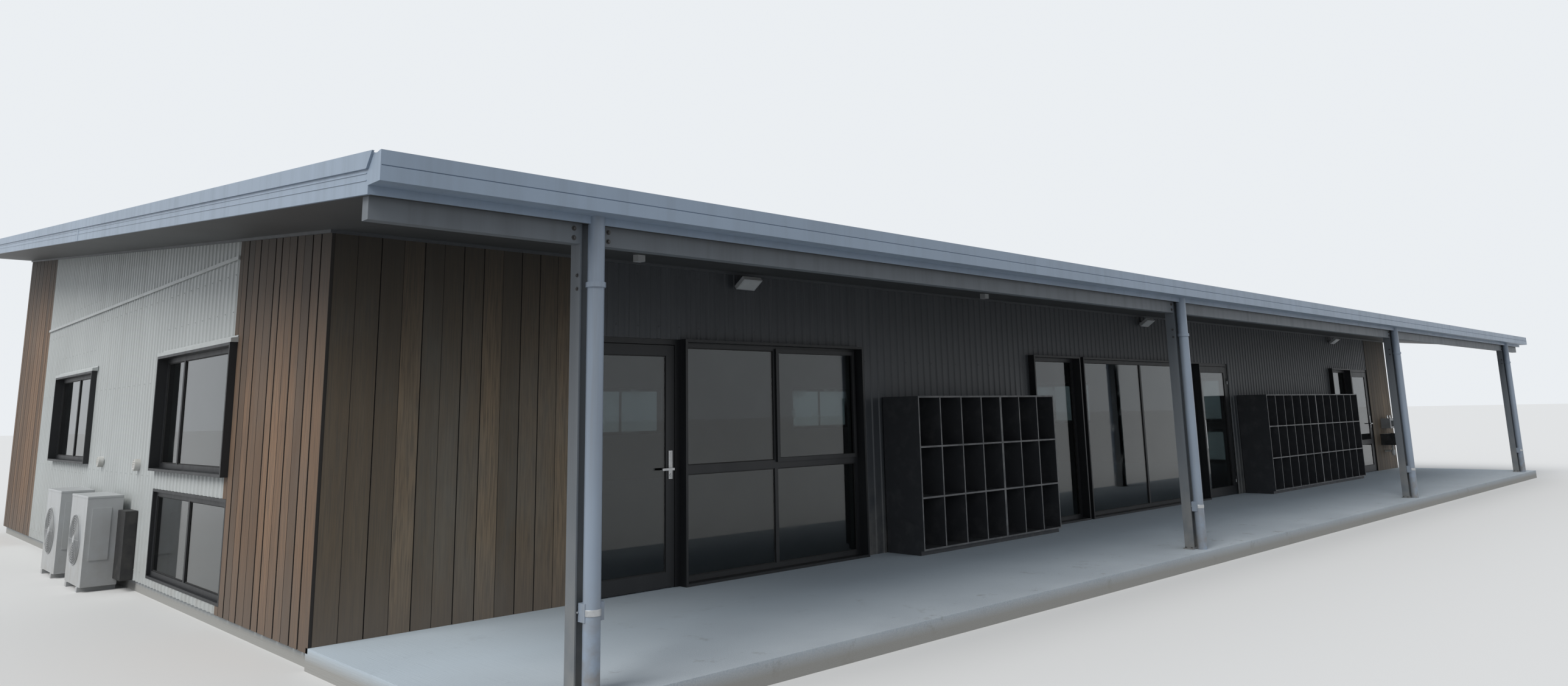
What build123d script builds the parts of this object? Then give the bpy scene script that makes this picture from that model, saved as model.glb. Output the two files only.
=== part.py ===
# School classroom block: a long single-storey building under one sloping roof.
# The low eaves face the front, where the roof covers a veranda on four steel posts.
# Millimetres, +Z up. The origin is at ground level, under the middle of the whole building.
# Plan positions are given from the near front corner: x along the front, y into the building.
import math
import os

from build123d import *

os.makedirs("parts", exist_ok=True)

# Overall sizes
LENGTH = 24050            # wall to wall along the front
DEPTH = 13700             # front wall face to rear wall face
FLOOR = 150               # floor and veranda level above the ground
PITCH = 6.0               # roof slope in degrees, rising to the rear
SOFFIT_FRONT = 3035       # soffit height at the front wall face
END_OVERHANG = 750        # roof past each end wall
EAVES = 2640              # gutter face in front of the front wall
REAR_OVERHANG = 60        # roof past the rear wall

# Walls and slabs
CLADDING = 40             # cladding and its cavity
WALL = 160                # framed wall behind the cladding, with its lining
CLADDING_DROP = 36        # cladding hangs this far below floor level at the ends and rear
SLAB_FRONT = 2600         # veranda slab in front of the front wall
CEDAR_FRONT = 2200        # cedar boards from the near corner along the front
CEDAR_END = 2140          # cedar boards from a front corner along an end wall
CEDAR_REAR = 2450         # cedar boards from a rear corner along an end wall
CEDAR_BACK = 2200         # cedar boards from a rear corner along the rear wall
CEDAR_FAR = 1410          # cedar boards from the far corner along the front
FLASHING_Z = 3080         # level of the flashing that runs across the end walls
FLASHING_H = 32
FLASHING_T = 16
TRIM_H = 24               # trim under the soffit
TRIM_T = 18

# Roof
ROOF_DEPTH = 220          # soffit to the top of the barge, measured upright
LINING = 15               # soffit lining
DECK_DEPTH = 150          # framed and insulated roof between lining and sheet
PAN = 8                   # flat of the roof sheet
RIB_H = 30                # ribs of the roof sheet
RIB_TOP = 24
RIB_FOOT = 60
RIB_PITCH = 400
BARGE_T = 30              # thickness of the barge and fascia boards
CAP_T = 12                # the barge cap stands out this far
CAP_H = 90
CAP_RETURN = 100          # top leg of the barge cap, over the roof sheet
CAP_NOSE = 65             # top corner of the cap in front of its foot
CAP_NOSE_R = 15
GUTTER_D = 150
GUTTER_H = 157
GUTTER_BOTTOM = 2819
GUTTER_T = 6
GUTTER_BEAD = 14          # rolled edge along the front of the gutter
SWAGE_UP = 76             # pressed line along the gutter, above its bottom
SWAGE_H = 6

# Veranda frame
POST_FIRST = 547          # near end wall to the near face of the first post
POST_LAST = 493           # far face of the last post to the far end wall
POST_COUNT = 4
POST_DEPTH = 150          # section along the front
POST_WIDTH = 100          # flange width
POST_FLANGE = 10
POST_WEB = 7
POST_FRONT = 2430         # front of the posts before the wall
BEAM_H = 120              # channel section, its web to the front
BEAM_WIDTH = 75
BEAM_WEB = 8
BEAM_FLANGE = 10
BEAM_END = 45             # beam stops short of the roof edge
PIPE_D = 100
PIPE_GAP = 4              # pipe to post
COLLAR_D = 118            # pipe socket
COLLAR_H = 30
COLLAR_DOWN = 420         # top of the socket below the gutter
CLIP_W = 100              # clip that holds the pipe to the post
CLIP_Z = 540

# Joinery
HEAD = 2350               # door and window heads above the ground
FRAME_W = 50              # face width of frames
FRAME_FACE = 20           # frame face behind the cladding face
FRAME_D = 100
STOP = 15                 # rebate that a door closes against
LEAF_T = 45
DOOR_GAP = 8
SILL_GAP = 10
STILE = 95                # door stiles and top rail
BOTTOM_RAIL = 130
MID_RAIL = 90
GLASS_T = 24
HANDLE_Z = 1180           # middle of the door handles
PLATE_W = 44
PLATE_H = 250
LEVER_OUT = 55
LEVER_L = 125
LEVER_D = 20
LEVER_T = 12
LEVER_DROP = 0.35         # share of the lever plate below the lever
PULL_H = 460
PULL_OUT = 65
PULL_D = 28
HINGE_OUT = 9             # hinge axis in front of the door face
HINGE_H = 100
HINGE_PLATE = 34
HINGE_T = 3
HINGE_CLEAR = 5
KNUCKLE_R = 7
PIN_R = 4
PIN_CLEAR = 0.3
HINGE_TOP = 250           # top hinge below the frame head
HINGE_FOOT = 250          # bottom hinge above the floor
BOX_T = 25                # board of a window box
BOX_OUT_FRONT = 80        # window boxes stand out of the front wall
BOX_OUT_END = 60          # and of the end walls
BAR = 45                  # window frame bars
BAR_D = 50
GLASS_BACK = 45           # glass face behind the cladding face
SASH_W = 40               # opening sash, over the bars round its pane
SASH_OUT = 22
HEAD_FLASHING = 40        # flashing over a window box in the end and rear walls
HEAD_LAP = 20

# Front wall, from the near corner and from the far cedar boards
NEAR_DOOR_W = 1000
NEAR_WINDOW_W = 2460
TRANSOM_Z = 1160          # middle of the bar between upper and lower panes
TRANSOM_H = 80
SHELF_RUN = 3370          # ribbed wall between the near window and the entrance
SIDE_LIGHT_W = 1170
COVER_POST = 80           # between the side light and the window box
ENTRANCE_BOX_W = 3700
THIN_POST = 20            # between the window box and the entrance door
ENTRANCE_DOOR_W = 1250
FAR_DOOR_W = 1110
FAR_PIER = 210
FAR_WINDOW_W = 1110
SILL_Z = 1220             # sill of the upper windows

# End and rear windows
END_WINDOW_Y = 2040       # first window of an end wall from the front corner
END_WINDOW_W = 2400
END_PANE = 1740           # wide pane of the first end window
END_WINDOW_REAR = 1240    # second window to the rear cedar boards
LOW_LIGHT = (185, 1040)
REAR_WINDOW_W = 2400
REAR_WINDOW_PITCH = 7025

# Things on the walls
SHELF_W = 385             # one bay of the bag shelves
SHELF_D = 500
SHELF_H = 1660
SHELF_BOARD = 18
SHELF_KICK = 50
SHELF_ROWS = 3
SHELF_BACK = 10
SHELF_OFF = 12
SHELF_START = 370         # near shelves from the near window
SHELF_START_FAR = 250     # far shelves from the entrance door
SHELF_SPARE = 300         # bare wall left beside the shelves
LIGHT_FIRST = 3965        # first light from the near end wall
LIGHT_PITCH = 8240
LIGHT_W = 240
LIGHT_L = 150             # lamp along its tilt
LIGHT_T = 40
LIGHT_TILT = 35
LIGHT_Z = 2920
SENSOR_X = 2185           # sensors under the soffit, from the near end wall
SENSOR_PITCH = 4835
SENSOR_Y = 750
TROUGH_X = 410            # drinking trough from the start of the far cedar boards
TROUGH_L = 700
TROUGH_W = 340
TROUGH_Z = 693
TROUGH_H = 242
TAP_BOX_W = 400
TAP_BOX_H = 217
TAP_BOX_D = 190
TAP_BOX_Z = 1056
PUMP_Y = 840              # first heat pump from the first end window
PUMP_PITCH = 1440
PUMP_L = 800
PUMP_D = 330
PUMP_GAP = 70
PUMP_FOOT = 50
PUMP_TOP = 950
FAN_D = 520
COVER_OUT = 110
COVER_W = 320
COVER_TOP = 800
VENT_R = 60
VENT_UP = 40              # middle of the vents above the window sills
VENT_NEAR = 640           # first vent from the first end window
VENT_FAR = 780            # second vent before the next end window

# Openings, worked out from the widths above
NEAR_DOOR = (CEDAR_FRONT, CEDAR_FRONT + NEAR_DOOR_W)
NEAR_WINDOW = (NEAR_DOOR[1], NEAR_DOOR[1] + NEAR_WINDOW_W)
SIDE_LIGHT = (NEAR_WINDOW[1] + SHELF_RUN, NEAR_WINDOW[1] + SHELF_RUN + SIDE_LIGHT_W)
ENTRANCE_BOX = (SIDE_LIGHT[1] + COVER_POST, SIDE_LIGHT[1] + COVER_POST + ENTRANCE_BOX_W)
ENTRANCE_DOOR = (ENTRANCE_BOX[1] + THIN_POST, ENTRANCE_BOX[1] + THIN_POST + ENTRANCE_DOOR_W)
ENTRANCE = (SIDE_LIGHT[0], ENTRANCE_DOOR[1])
FAR_DOOR = (LENGTH - CEDAR_FAR - FAR_DOOR_W, LENGTH - CEDAR_FAR)
FAR_WINDOW = (FAR_DOOR[0] - FAR_PIER - FAR_WINDOW_W, FAR_DOOR[0] - FAR_PIER)
END_WINDOW = (END_WINDOW_Y, END_WINDOW_Y + END_WINDOW_W)
END_WINDOW_FAR = (DEPTH - CEDAR_REAR - END_WINDOW_REAR - END_WINDOW_W, DEPTH - CEDAR_REAR - END_WINDOW_REAR)
REAR_WINDOWS = [LENGTH / 2 + i * REAR_WINDOW_PITCH for i in (-1, 0, 1)]

TAN = math.tan(math.radians(PITCH))
COS = math.cos(math.radians(PITCH))
NEAR_X = -LENGTH / 2
FAR_X = LENGTH / 2
FRONT_Y = (EAVES - DEPTH - REAR_OVERHANG) / 2
BACK_FACE = CLADDING + WALL

front_plane = Plane(origin=(NEAR_X, FRONT_Y, 0), x_dir=(1, 0, 0), z_dir=(0, -1, 0))
soffit_plane = Plane(origin=(0, FRONT_Y, SOFFIT_FRONT), x_dir=(1, 0, 0), z_dir=(0, -TAN, 1))


def end_plane(x):
    """Plane of an end elevation at x: sideways is y from the front wall face, up is z."""
    return Plane(origin=(NEAR_X + x, FRONT_Y, 0), x_dir=(0, 1, 0), z_dir=(1, 0, 0))


def soffit(y):
    """Height of the soffit at y behind the front wall face."""
    return SOFFIT_FRONT + y * TAN


def block(x, y, z, mode=Mode.ADD):
    """A box from its two x, two y and two z values, from the near front corner."""
    middle = (NEAR_X + (x[0] + x[1]) / 2, FRONT_Y + (y[0] + y[1]) / 2, (z[0] + z[1]) / 2)
    with Locations(middle):
        Box(x[1] - x[0], y[1] - y[0], z[1] - z[0], mode=mode)


def under_roof():
    """Cut the part off at the soffit."""
    split(bisect_by=soffit_plane, keep=Keep.BOTTOM)


def rising_wall(y0, y1, bottom):
    """Outline of a wall seen from the end, its top along the soffit."""
    Polygon((y0, bottom), (y1, bottom), (y1, soffit(y1)), (y0, soffit(y0)), align=None)


def sloping_band(y0, y1, low, high):
    """Outline of a layer seen from the end, between two heights above the soffit."""
    Polygon((y0, soffit(y0) + low), (y1, soffit(y1) + low), (y1, soffit(y1) + high), (y0, soffit(y0) + high),
            align=None)


def cut_out(a, b, z0, z1):
    """An opening in a wall outline, from a to b sideways and z0 to z1 up."""
    with Locations(((a + b) / 2, (z0 + z1) / 2)):
        Rectangle(b - a, z1 - z0, mode=Mode.SUBTRACT)


def panel(wall, side, z, depth, mode=Mode.ADD):
    """A box on one of the four walls: its two sideways, two upward and two inward values."""
    low, high = depth
    if wall == "front":
        block(side, (low, high), z, mode)
    elif wall == "rear":
        block(side, (DEPTH - high, DEPTH - low), z, mode)
    elif wall == "near end":
        block((low, high), side, z, mode)
    else:
        block((LENGTH - high, LENGTH - low), side, z, mode)


def hand_in(piece, name):
    piece.part.label = name
    export_step(piece.part, f"parts/{name}.step")


# Floor and veranda slabs
with BuildPart() as floor_slab:
    block((CLADDING, LENGTH - CLADDING), (CLADDING, DEPTH - CLADDING), (0, FLOOR))
hand_in(floor_slab, "floor_slab")

with BuildPart() as veranda_slab:
    block((0, LENGTH), (-SLAB_FRONT, CLADDING), (0, FLOOR))
hand_in(veranda_slab, "veranda_slab")

# Front wall: full-height lengths between the openings, and the pieces over them
TOP = soffit(BACK_FACE) + 1
front_lengths = (
    (CLADDING, NEAR_DOOR[0]),
    (NEAR_WINDOW[1], ENTRANCE[0]),
    (ENTRANCE[1], FAR_WINDOW[0]),
    (FAR_WINDOW[1], FAR_DOOR[0]),
    (FAR_DOOR[1], LENGTH - CLADDING),
)
with BuildPart() as front_wall:
    for length in front_lengths:
        block(length, (CLADDING, BACK_FACE), (FLOOR, TOP))
    under_roof()
hand_in(front_wall, "front_wall")

front_heads = (
    (NEAR_DOOR[0], NEAR_WINDOW[1]),
    (ENTRANCE[0], ENTRANCE[1]),
    (FAR_WINDOW[0], FAR_WINDOW[1]),
    (FAR_DOOR[0], FAR_DOOR[1]),
)
with BuildPart() as front_infill_walls:
    for head in front_heads:
        block(head, (CLADDING, BACK_FACE), (HEAD, TOP))
    block(FAR_WINDOW, (CLADDING, BACK_FACE), (FLOOR, SILL_Z))
    under_roof()
hand_in(front_infill_walls, "front_infill_walls")

# End walls: framed walls with the openings of the windows
with BuildPart() as near_end_wall:
    with BuildSketch(end_plane(CLADDING)):
        rising_wall(BACK_FACE, DEPTH - BACK_FACE, FLOOR)
        cut_out(*END_WINDOW, SILL_Z, HEAD)
        cut_out(*END_WINDOW, *LOW_LIGHT)
        cut_out(*END_WINDOW_FAR, SILL_Z, HEAD)
    extrude(amount=WALL)
hand_in(near_end_wall, "near_end_wall")

with BuildPart() as far_end_wall:
    mirror(near_end_wall.part, about=Plane.YZ)
hand_in(far_end_wall, "far_end_wall")

rear_bands = [(w - REAR_WINDOW_W / 2, w + REAR_WINDOW_W / 2) for w in REAR_WINDOWS]
with BuildPart() as rear_wall:
    block((CLADDING, LENGTH - CLADDING), (DEPTH - BACK_FACE, DEPTH - CLADDING), (FLOOR, soffit(DEPTH)))
    for band in rear_bands:
        block(band, (DEPTH - BACK_FACE, DEPTH - CLADDING), (SILL_Z, HEAD), Mode.SUBTRACT)
    under_roof()
hand_in(rear_wall, "rear_wall")

# Cladding: cedar boards round the corners, ribbed steel between them
LOW = FLOOR - CLADDING_DROP

near_side = (0, CLADDING)
far_side = (LENGTH - CLADDING, LENGTH)
front_side = (0, CLADDING)
rear_side = (DEPTH - CLADDING, DEPTH)
with BuildPart() as cedar_cladding:
    for side, runs in ((near_side, (0, CEDAR_FRONT, 0, CEDAR_BACK)),
                       (far_side, (LENGTH - CEDAR_FAR, LENGTH, LENGTH - CEDAR_BACK, LENGTH))):
        block((runs[0], runs[1]), front_side, (FLOOR, TOP))
        block(side, (CLADDING, CEDAR_END), (LOW, soffit(DEPTH)))
        block((runs[2], runs[3]), rear_side, (LOW, soffit(DEPTH)))
        block(side, (DEPTH - CEDAR_REAR, DEPTH - CLADDING), (LOW, soffit(DEPTH)))
    block((0, LENGTH), END_WINDOW, (SILL_Z, HEAD), Mode.SUBTRACT)
    block((0, LENGTH), END_WINDOW, LOW_LIGHT, Mode.SUBTRACT)
    under_roof()
hand_in(cedar_cladding, "cedar_cladding")

with BuildPart() as dark_cladding:
    with BuildSketch(front_plane):
        Polygon((CEDAR_FRONT, FLOOR), (LENGTH - CEDAR_FAR, FLOOR), (LENGTH - CEDAR_FAR, TOP), (CEDAR_FRONT, TOP),
                align=None)
        cut_out(CEDAR_FRONT - 1, NEAR_WINDOW[1], FLOOR - 1, HEAD)
        cut_out(ENTRANCE[0], ENTRANCE[1], FLOOR - 1, HEAD)
        cut_out(FAR_WINDOW[0], FAR_WINDOW[1], SILL_Z, HEAD)
        cut_out(FAR_DOOR[0], FAR_DOOR[1] + 1, FLOOR - 1, HEAD)
    extrude(amount=-CLADDING)
    under_roof()
hand_in(dark_cladding, "dark_cladding")

with BuildPart() as pale_cladding:
    for x in (0, LENGTH - CLADDING):
        with BuildSketch(end_plane(x)):
            rising_wall(CEDAR_END, DEPTH - CEDAR_REAR, LOW)
            cut_out(*END_WINDOW, SILL_Z, HEAD)
            cut_out(*END_WINDOW, *LOW_LIGHT)
            cut_out(*END_WINDOW_FAR, SILL_Z, HEAD)
        extrude(amount=CLADDING)
    block((CEDAR_BACK, LENGTH - CEDAR_BACK), rear_side, (LOW, soffit(DEPTH)))
    for band in rear_bands:
        block(band, rear_side, (SILL_Z, HEAD), Mode.SUBTRACT)
    under_roof()
hand_in(pale_cladding, "pale_cladding")

# Flashings: one across each end wall, and a sloping one over every window box of the end and rear walls
BOX_OUT_REAR = REAR_OVERHANG - BARGE_T
head_profile = ((0, 0), (0, HEAD_FLASHING + HEAD_LAP), (-4, HEAD_FLASHING + HEAD_LAP), (-8, HEAD_FLASHING + 4))
with BuildPart() as wall_flashings:
    for x in (-FLASHING_T, LENGTH):
        block((x, x + FLASHING_T), (CEDAR_END, DEPTH - CEDAR_REAR), (FLASHING_Z, FLASHING_Z + FLASHING_H))
    for window in (END_WINDOW, END_WINDOW_FAR):
        start = (NEAR_X, FRONT_Y + window[0] - HEAD_LAP, HEAD)
        with BuildSketch(Plane(origin=start, x_dir=(1, 0, 0), z_dir=(0, -1, 0))):
            Polygon(*head_profile, (-BOX_OUT_END, HEAD_FLASHING - 6), (-BOX_OUT_END, 0), align=None)
        extrude(amount=-(END_WINDOW_W + 2 * HEAD_LAP))
        start = (FAR_X, FRONT_Y + window[0] - HEAD_LAP, HEAD)
        with BuildSketch(Plane(origin=start, x_dir=(-1, 0, 0), z_dir=(0, 1, 0))):
            Polygon(*head_profile, (-BOX_OUT_END, HEAD_FLASHING - 6), (-BOX_OUT_END, 0), align=None)
        extrude(amount=END_WINDOW_W + 2 * HEAD_LAP)
    for band in rear_bands:
        start = (NEAR_X + band[0] - HEAD_LAP, FRONT_Y + DEPTH, HEAD)
        with BuildSketch(Plane(origin=start, x_dir=(0, -1, 0), z_dir=(-1, 0, 0))):
            Polygon(*head_profile, (-BOX_OUT_REAR, HEAD_FLASHING - 2), (-BOX_OUT_REAR, 0), align=None)
        extrude(amount=-(REAR_WINDOW_W + 2 * HEAD_LAP))
hand_in(wall_flashings, "wall_flashings")

with BuildPart() as soffit_trim:
    block((-TRIM_T, LENGTH + TRIM_T), (-TRIM_T, 0), (soffit(0) - TRIM_H, soffit(0) + TRIM_T))
    for x in (-TRIM_T, LENGTH):
        with BuildSketch(end_plane(x)):
            sloping_band(0, DEPTH, -TRIM_H, 0)
        extrude(amount=TRIM_T)
    under_roof()
hand_in(soffit_trim, "soffit_trim")

# Roof: lining, framed deck and ribbed sheet, each a slab along the slope
DECK_FRONT = -EAVES + GUTTER_D
ROOF_REAR = DEPTH + REAR_OVERHANG

inner_near = -END_OVERHANG + BARGE_T
inner_far = LENGTH + END_OVERHANG - BARGE_T
inner_rear = ROOF_REAR - BARGE_T
with BuildPart() as soffit_lining:
    with BuildSketch(end_plane(inner_near)):
        sloping_band(DECK_FRONT, inner_rear, 0, LINING)
    extrude(amount=inner_far - inner_near)
hand_in(soffit_lining, "soffit_lining")

with BuildPart() as roof_deck:
    with BuildSketch(end_plane(inner_near)):
        sloping_band(DECK_FRONT, inner_rear, LINING, LINING + DECK_DEPTH)
    extrude(amount=inner_far - inner_near)
hand_in(roof_deck, "roof_deck")

sheet_low = LINING + DECK_DEPTH
sheet_start = DECK_FRONT - GUTTER_D / 3
sheet_plane = Plane(
    origin=(0, FRONT_Y + sheet_start, soffit(sheet_start) + sheet_low),
    x_dir=(1, 0, 0),
    z_dir=(0, -COS, -COS * TAN),
)
sheet_width = inner_far - inner_near
sheet_run = (inner_rear - sheet_start) / COS
rib_count = int(sheet_width // RIB_PITCH)
with BuildPart() as roof_sheet:
    with BuildSketch(sheet_plane):
        with Locations((0, PAN / 2)):
            Rectangle(sheet_width, PAN)
        with Locations((0, PAN + RIB_H / 2)):
            with GridLocations(RIB_PITCH, 1, rib_count, 1):
                Trapezoid(RIB_FOOT, RIB_H, math.degrees(math.atan2(2 * RIB_H, RIB_FOOT - RIB_TOP)))
    extrude(amount=-sheet_run)
    block((inner_near, inner_far), (inner_rear, inner_rear + RIB_H), (0, 2 * SOFFIT_FRONT), Mode.SUBTRACT)
hand_in(roof_sheet, "roof_sheet")

# Roof edges: barges at the ends, fascia at the rear, box gutter along the front
barge_face = -END_OVERHANG + CAP_T
cap_foot = ROOF_DEPTH - CAP_H
with BuildPart() as barges:
    with BuildSketch(end_plane(barge_face)):
        sloping_band(DECK_FRONT, ROOF_REAR - BARGE_T, 0, ROOF_DEPTH)
    extrude(amount=BARGE_T - CAP_T)
    with BuildSketch(end_plane(-END_OVERHANG)):
        nose = DECK_FRONT - CAP_NOSE
        Polygon(
            (DECK_FRONT, soffit(DECK_FRONT) + cap_foot),
            (ROOF_REAR, soffit(ROOF_REAR) + cap_foot),
            (ROOF_REAR, soffit(ROOF_REAR) + ROOF_DEPTH),
            (nose, soffit(nose) + ROOF_DEPTH),
            align=None,
        )
        fillet(vertices().group_by(Axis.Y)[0], CAP_NOSE_R)
    extrude(amount=CAP_T)
    with BuildSketch(end_plane(-END_OVERHANG)):
        sloping_band(DECK_FRONT, ROOF_REAR - BARGE_T, ROOF_DEPTH - PAN, ROOF_DEPTH)
    extrude(amount=CAP_RETURN)
    mirror(about=Plane.YZ)
hand_in(barges, "barges")

with BuildPart() as rear_fascia:
    with BuildSketch(end_plane(barge_face)):
        sloping_band(ROOF_REAR - BARGE_T, ROOF_REAR, 0, ROOF_DEPTH)
    extrude(amount=LENGTH - 2 * barge_face)
hand_in(rear_fascia, "rear_fascia")

outer = -EAVES
inner = -EAVES + GUTTER_T
back = DECK_FRONT - GUTTER_T
swage = GUTTER_BOTTOM + SWAGE_UP
rim = GUTTER_BOTTOM + GUTTER_H
with BuildPart() as front_gutter:
    with BuildSketch(end_plane(barge_face)):
        Polygon(
            (DECK_FRONT, soffit(DECK_FRONT)),
            (back, soffit(DECK_FRONT)),
            (back, GUTTER_BOTTOM),
            (outer, GUTTER_BOTTOM),
            (outer, swage),
            (outer + SWAGE_H, swage + SWAGE_H / 2),
            (outer, swage + SWAGE_H),
            (outer, rim),
            (outer + GUTTER_BEAD, rim),
            (outer + GUTTER_BEAD, rim - GUTTER_BEAD),
            (inner, rim - GUTTER_BEAD),
            (inner, swage + 2 * SWAGE_H),
            (inner + SWAGE_H, swage + SWAGE_H / 2),
            (inner, swage - SWAGE_H),
            (inner, GUTTER_BOTTOM + GUTTER_T),
            (back, GUTTER_BOTTOM + GUTTER_T),
            (back, soffit(sheet_start) + sheet_low - 2),
            (DECK_FRONT, soffit(sheet_start) + sheet_low - 2),
            align=None,
        )
    extrude(amount=LENGTH - 2 * barge_face)
    for x in (barge_face, LENGTH - barge_face - GUTTER_T):
        with BuildSketch(end_plane(x)):
            Polygon(
                (DECK_FRONT, GUTTER_BOTTOM),
                (outer, GUTTER_BOTTOM),
                (outer, rim),
                (outer + GUTTER_BEAD, rim),
                (outer + 3 * GUTTER_BEAD, rim - SWAGE_H),
                (DECK_FRONT, rim - SWAGE_H),
                align=None,
            )
        extrude(amount=GUTTER_T)
hand_in(front_gutter, "front_gutter")

# Veranda frame: posts, beam lengths between them and downpipes
post_step = (LENGTH - POST_FIRST - POST_LAST - POST_DEPTH) / (POST_COUNT - 1)
post_x = [POST_FIRST + i * post_step for i in range(POST_COUNT)]
post_y = (-POST_FRONT, -POST_FRONT + POST_WIDTH)
with BuildPart() as veranda_posts:
    for x in post_x:
        block((x, x + POST_FLANGE), post_y, (FLOOR, soffit(0)))
        block((x + POST_DEPTH - POST_FLANGE, x + POST_DEPTH), post_y, (FLOOR, soffit(0)))
        block((x, x + POST_DEPTH), (post_y[0] + POST_WIDTH / 2 - POST_WEB / 2, post_y[0] + POST_WIDTH / 2 + POST_WEB / 2),
              (FLOOR, soffit(0)))
    under_roof()
hand_in(veranda_posts, "veranda_posts")

beam_y = (post_y[0], post_y[0] + BEAM_WIDTH)
beam_z = (soffit(post_y[0]) - BEAM_H, soffit(0))
beam_starts = [-END_OVERHANG + BEAM_END] + [x + POST_DEPTH for x in post_x]
beam_ends = post_x + [LENGTH + END_OVERHANG - BEAM_END]
with BuildPart() as veranda_beam:
    for a, b in zip(beam_starts, beam_ends):
        block((a, b), beam_y, beam_z)
        block((a - 1, b + 1), (beam_y[0] + BEAM_WEB, beam_y[1] + 1),
              (beam_z[0] + BEAM_FLANGE, beam_z[0] + BEAM_H - BEAM_FLANGE), Mode.SUBTRACT)
    for x in (beam_starts[0], beam_ends[-1] - BEAM_WEB):
        block((x, x + BEAM_WEB), beam_y, beam_z)
    under_roof()
hand_in(veranda_beam, "veranda_beam")

pipe_y = post_y[0] - PIPE_GAP - PIPE_D / 2
collar_top = GUTTER_BOTTOM - COLLAR_DOWN + COLLAR_H
with BuildPart() as downpipes:
    for x in post_x:
        middle = x + POST_DEPTH / 2
        centre = (NEAR_X + middle, FRONT_Y + pipe_y)
        with BuildSketch(Plane.XY.offset(FLOOR)):
            with Locations(centre):
                Circle(PIPE_D / 2)
        extrude(amount=GUTTER_BOTTOM - FLOOR)
        with BuildSketch(Plane.XY.offset(collar_top - COLLAR_H)):
            with Locations(centre):
                Circle(COLLAR_D / 2)
                with Locations((0, PIPE_D / 2 + PIPE_GAP + COLLAR_D / 2)):
                    Rectangle(COLLAR_D, COLLAR_D, mode=Mode.SUBTRACT)
        extrude(amount=COLLAR_H)
        block((middle - PIPE_D / 2 - 4, x + POST_DEPTH), (pipe_y - 12, post_y[0]), (CLIP_Z, CLIP_Z + CLIP_W))
        block((middle - PIPE_D, middle + PIPE_D), (DECK_FRONT - GUTTER_T, post_y[0]),
              (soffit(DECK_FRONT), GUTTER_BOTTOM + 1), Mode.SUBTRACT)
hand_in(downpipes, "downpipes")


# Joinery: window boxes, their bars, and the glass in them
def lights(window):
    """Clear openings between a window's bars."""
    a, b, z0, z1, mullions, transoms = window
    sides = []
    edges = [a + BOX_T + BAR / 2] + list(mullions) + [b - BOX_T - BAR / 2]
    for left, right in zip(edges, edges[1:]):
        sides.append((left + BAR / 2, right - BAR / 2))
    rows = []
    levels = [z0 + BOX_T + BAR - TRANSOM_H / 2] + list(transoms) + [z1 - BOX_T - BAR + TRANSOM_H / 2]
    for bottom, top in zip(levels, levels[1:]):
        rows.append((bottom + TRANSOM_H / 2, top - TRANSOM_H / 2))
    return [(side, row) for side in sides for row in rows]


near_window = (*NEAR_WINDOW, FLOOR, HEAD, (sum(NEAR_WINDOW) / 2,), (TRANSOM_Z,))
windows = [
    ("front", BOX_OUT_FRONT, near_window),
    ("front", BOX_OUT_FRONT, (*FAR_WINDOW, SILL_Z, HEAD, (), ())),
    ("front", BOX_OUT_FRONT, (*SIDE_LIGHT, FLOOR, HEAD, (), ())),
    ("front", BOX_OUT_FRONT, (*ENTRANCE_BOX, FLOOR, HEAD, (sum(ENTRANCE_BOX) / 2,), ())),
]
for wall in ("near end", "far end"):
    windows.append((wall, BOX_OUT_END, (*END_WINDOW, SILL_Z, HEAD, (END_WINDOW[0] + END_PANE,), ())))
    windows.append((wall, 0, (*END_WINDOW, *LOW_LIGHT, (sum(END_WINDOW) / 2,), ())))
    windows.append((wall, BOX_OUT_END, (*END_WINDOW_FAR, SILL_Z, HEAD, (sum(END_WINDOW_FAR) / 2,), ())))
for band in rear_bands:
    windows.append(("rear", BOX_OUT_REAR, (*band, SILL_Z, HEAD, (sum(band) / 2,), ())))
BAR_FRONT = GLASS_BACK - (BAR_D - GLASS_T) / 2
BOX_BACK = FRAME_FACE + FRAME_D

with BuildPart() as window_boxes:
    for wall, out, window in windows:
        a, b, z0, z1 = window[:4]
        panel(wall, (a, b), (z0, z1), (-out, BOX_BACK))
        panel(wall, (a + BOX_T, b - BOX_T), (z0 + BOX_T, z1 - BOX_T), (-out - 1, BOX_BACK + 1), Mode.SUBTRACT)
hand_in(window_boxes, "window_boxes")

with BuildPart() as window_bars:
    for wall, out, window in windows:
        a, b, z0, z1 = window[:4]
        panel(wall, (a + BOX_T, b - BOX_T), (z0 + BOX_T, z1 - BOX_T), (BAR_FRONT, BAR_FRONT + BAR_D))
        for side, row in lights(window):
            panel(wall, side, row, (BAR_FRONT - 1, BAR_FRONT + BAR_D + 1), Mode.SUBTRACT)
    # The upper pane by the veranda opens on top hinges: its sash stands in front of the bars
    side, row = lights(near_window)[3]
    sash_y = (BAR_FRONT - SASH_OUT, BAR_FRONT)
    panel("front", (side[0] - SASH_W / 2, side[1] + SASH_W / 2), (row[0] - SASH_W / 2, row[1] + SASH_W / 2), sash_y)
    panel("front", (side[0] + SASH_W / 2, side[1] - SASH_W / 2), (row[0] + SASH_W / 2, row[1] - SASH_W / 2),
          (sash_y[0] - 1, sash_y[1] + 1), Mode.SUBTRACT)
hand_in(window_bars, "window_bars")

with BuildPart() as window_glass:
    for wall, out, window in windows:
        for side, row in lights(window):
            panel(wall, side, row, (GLASS_BACK, GLASS_BACK + GLASS_T))
hand_in(window_glass, "window_glass")

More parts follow.
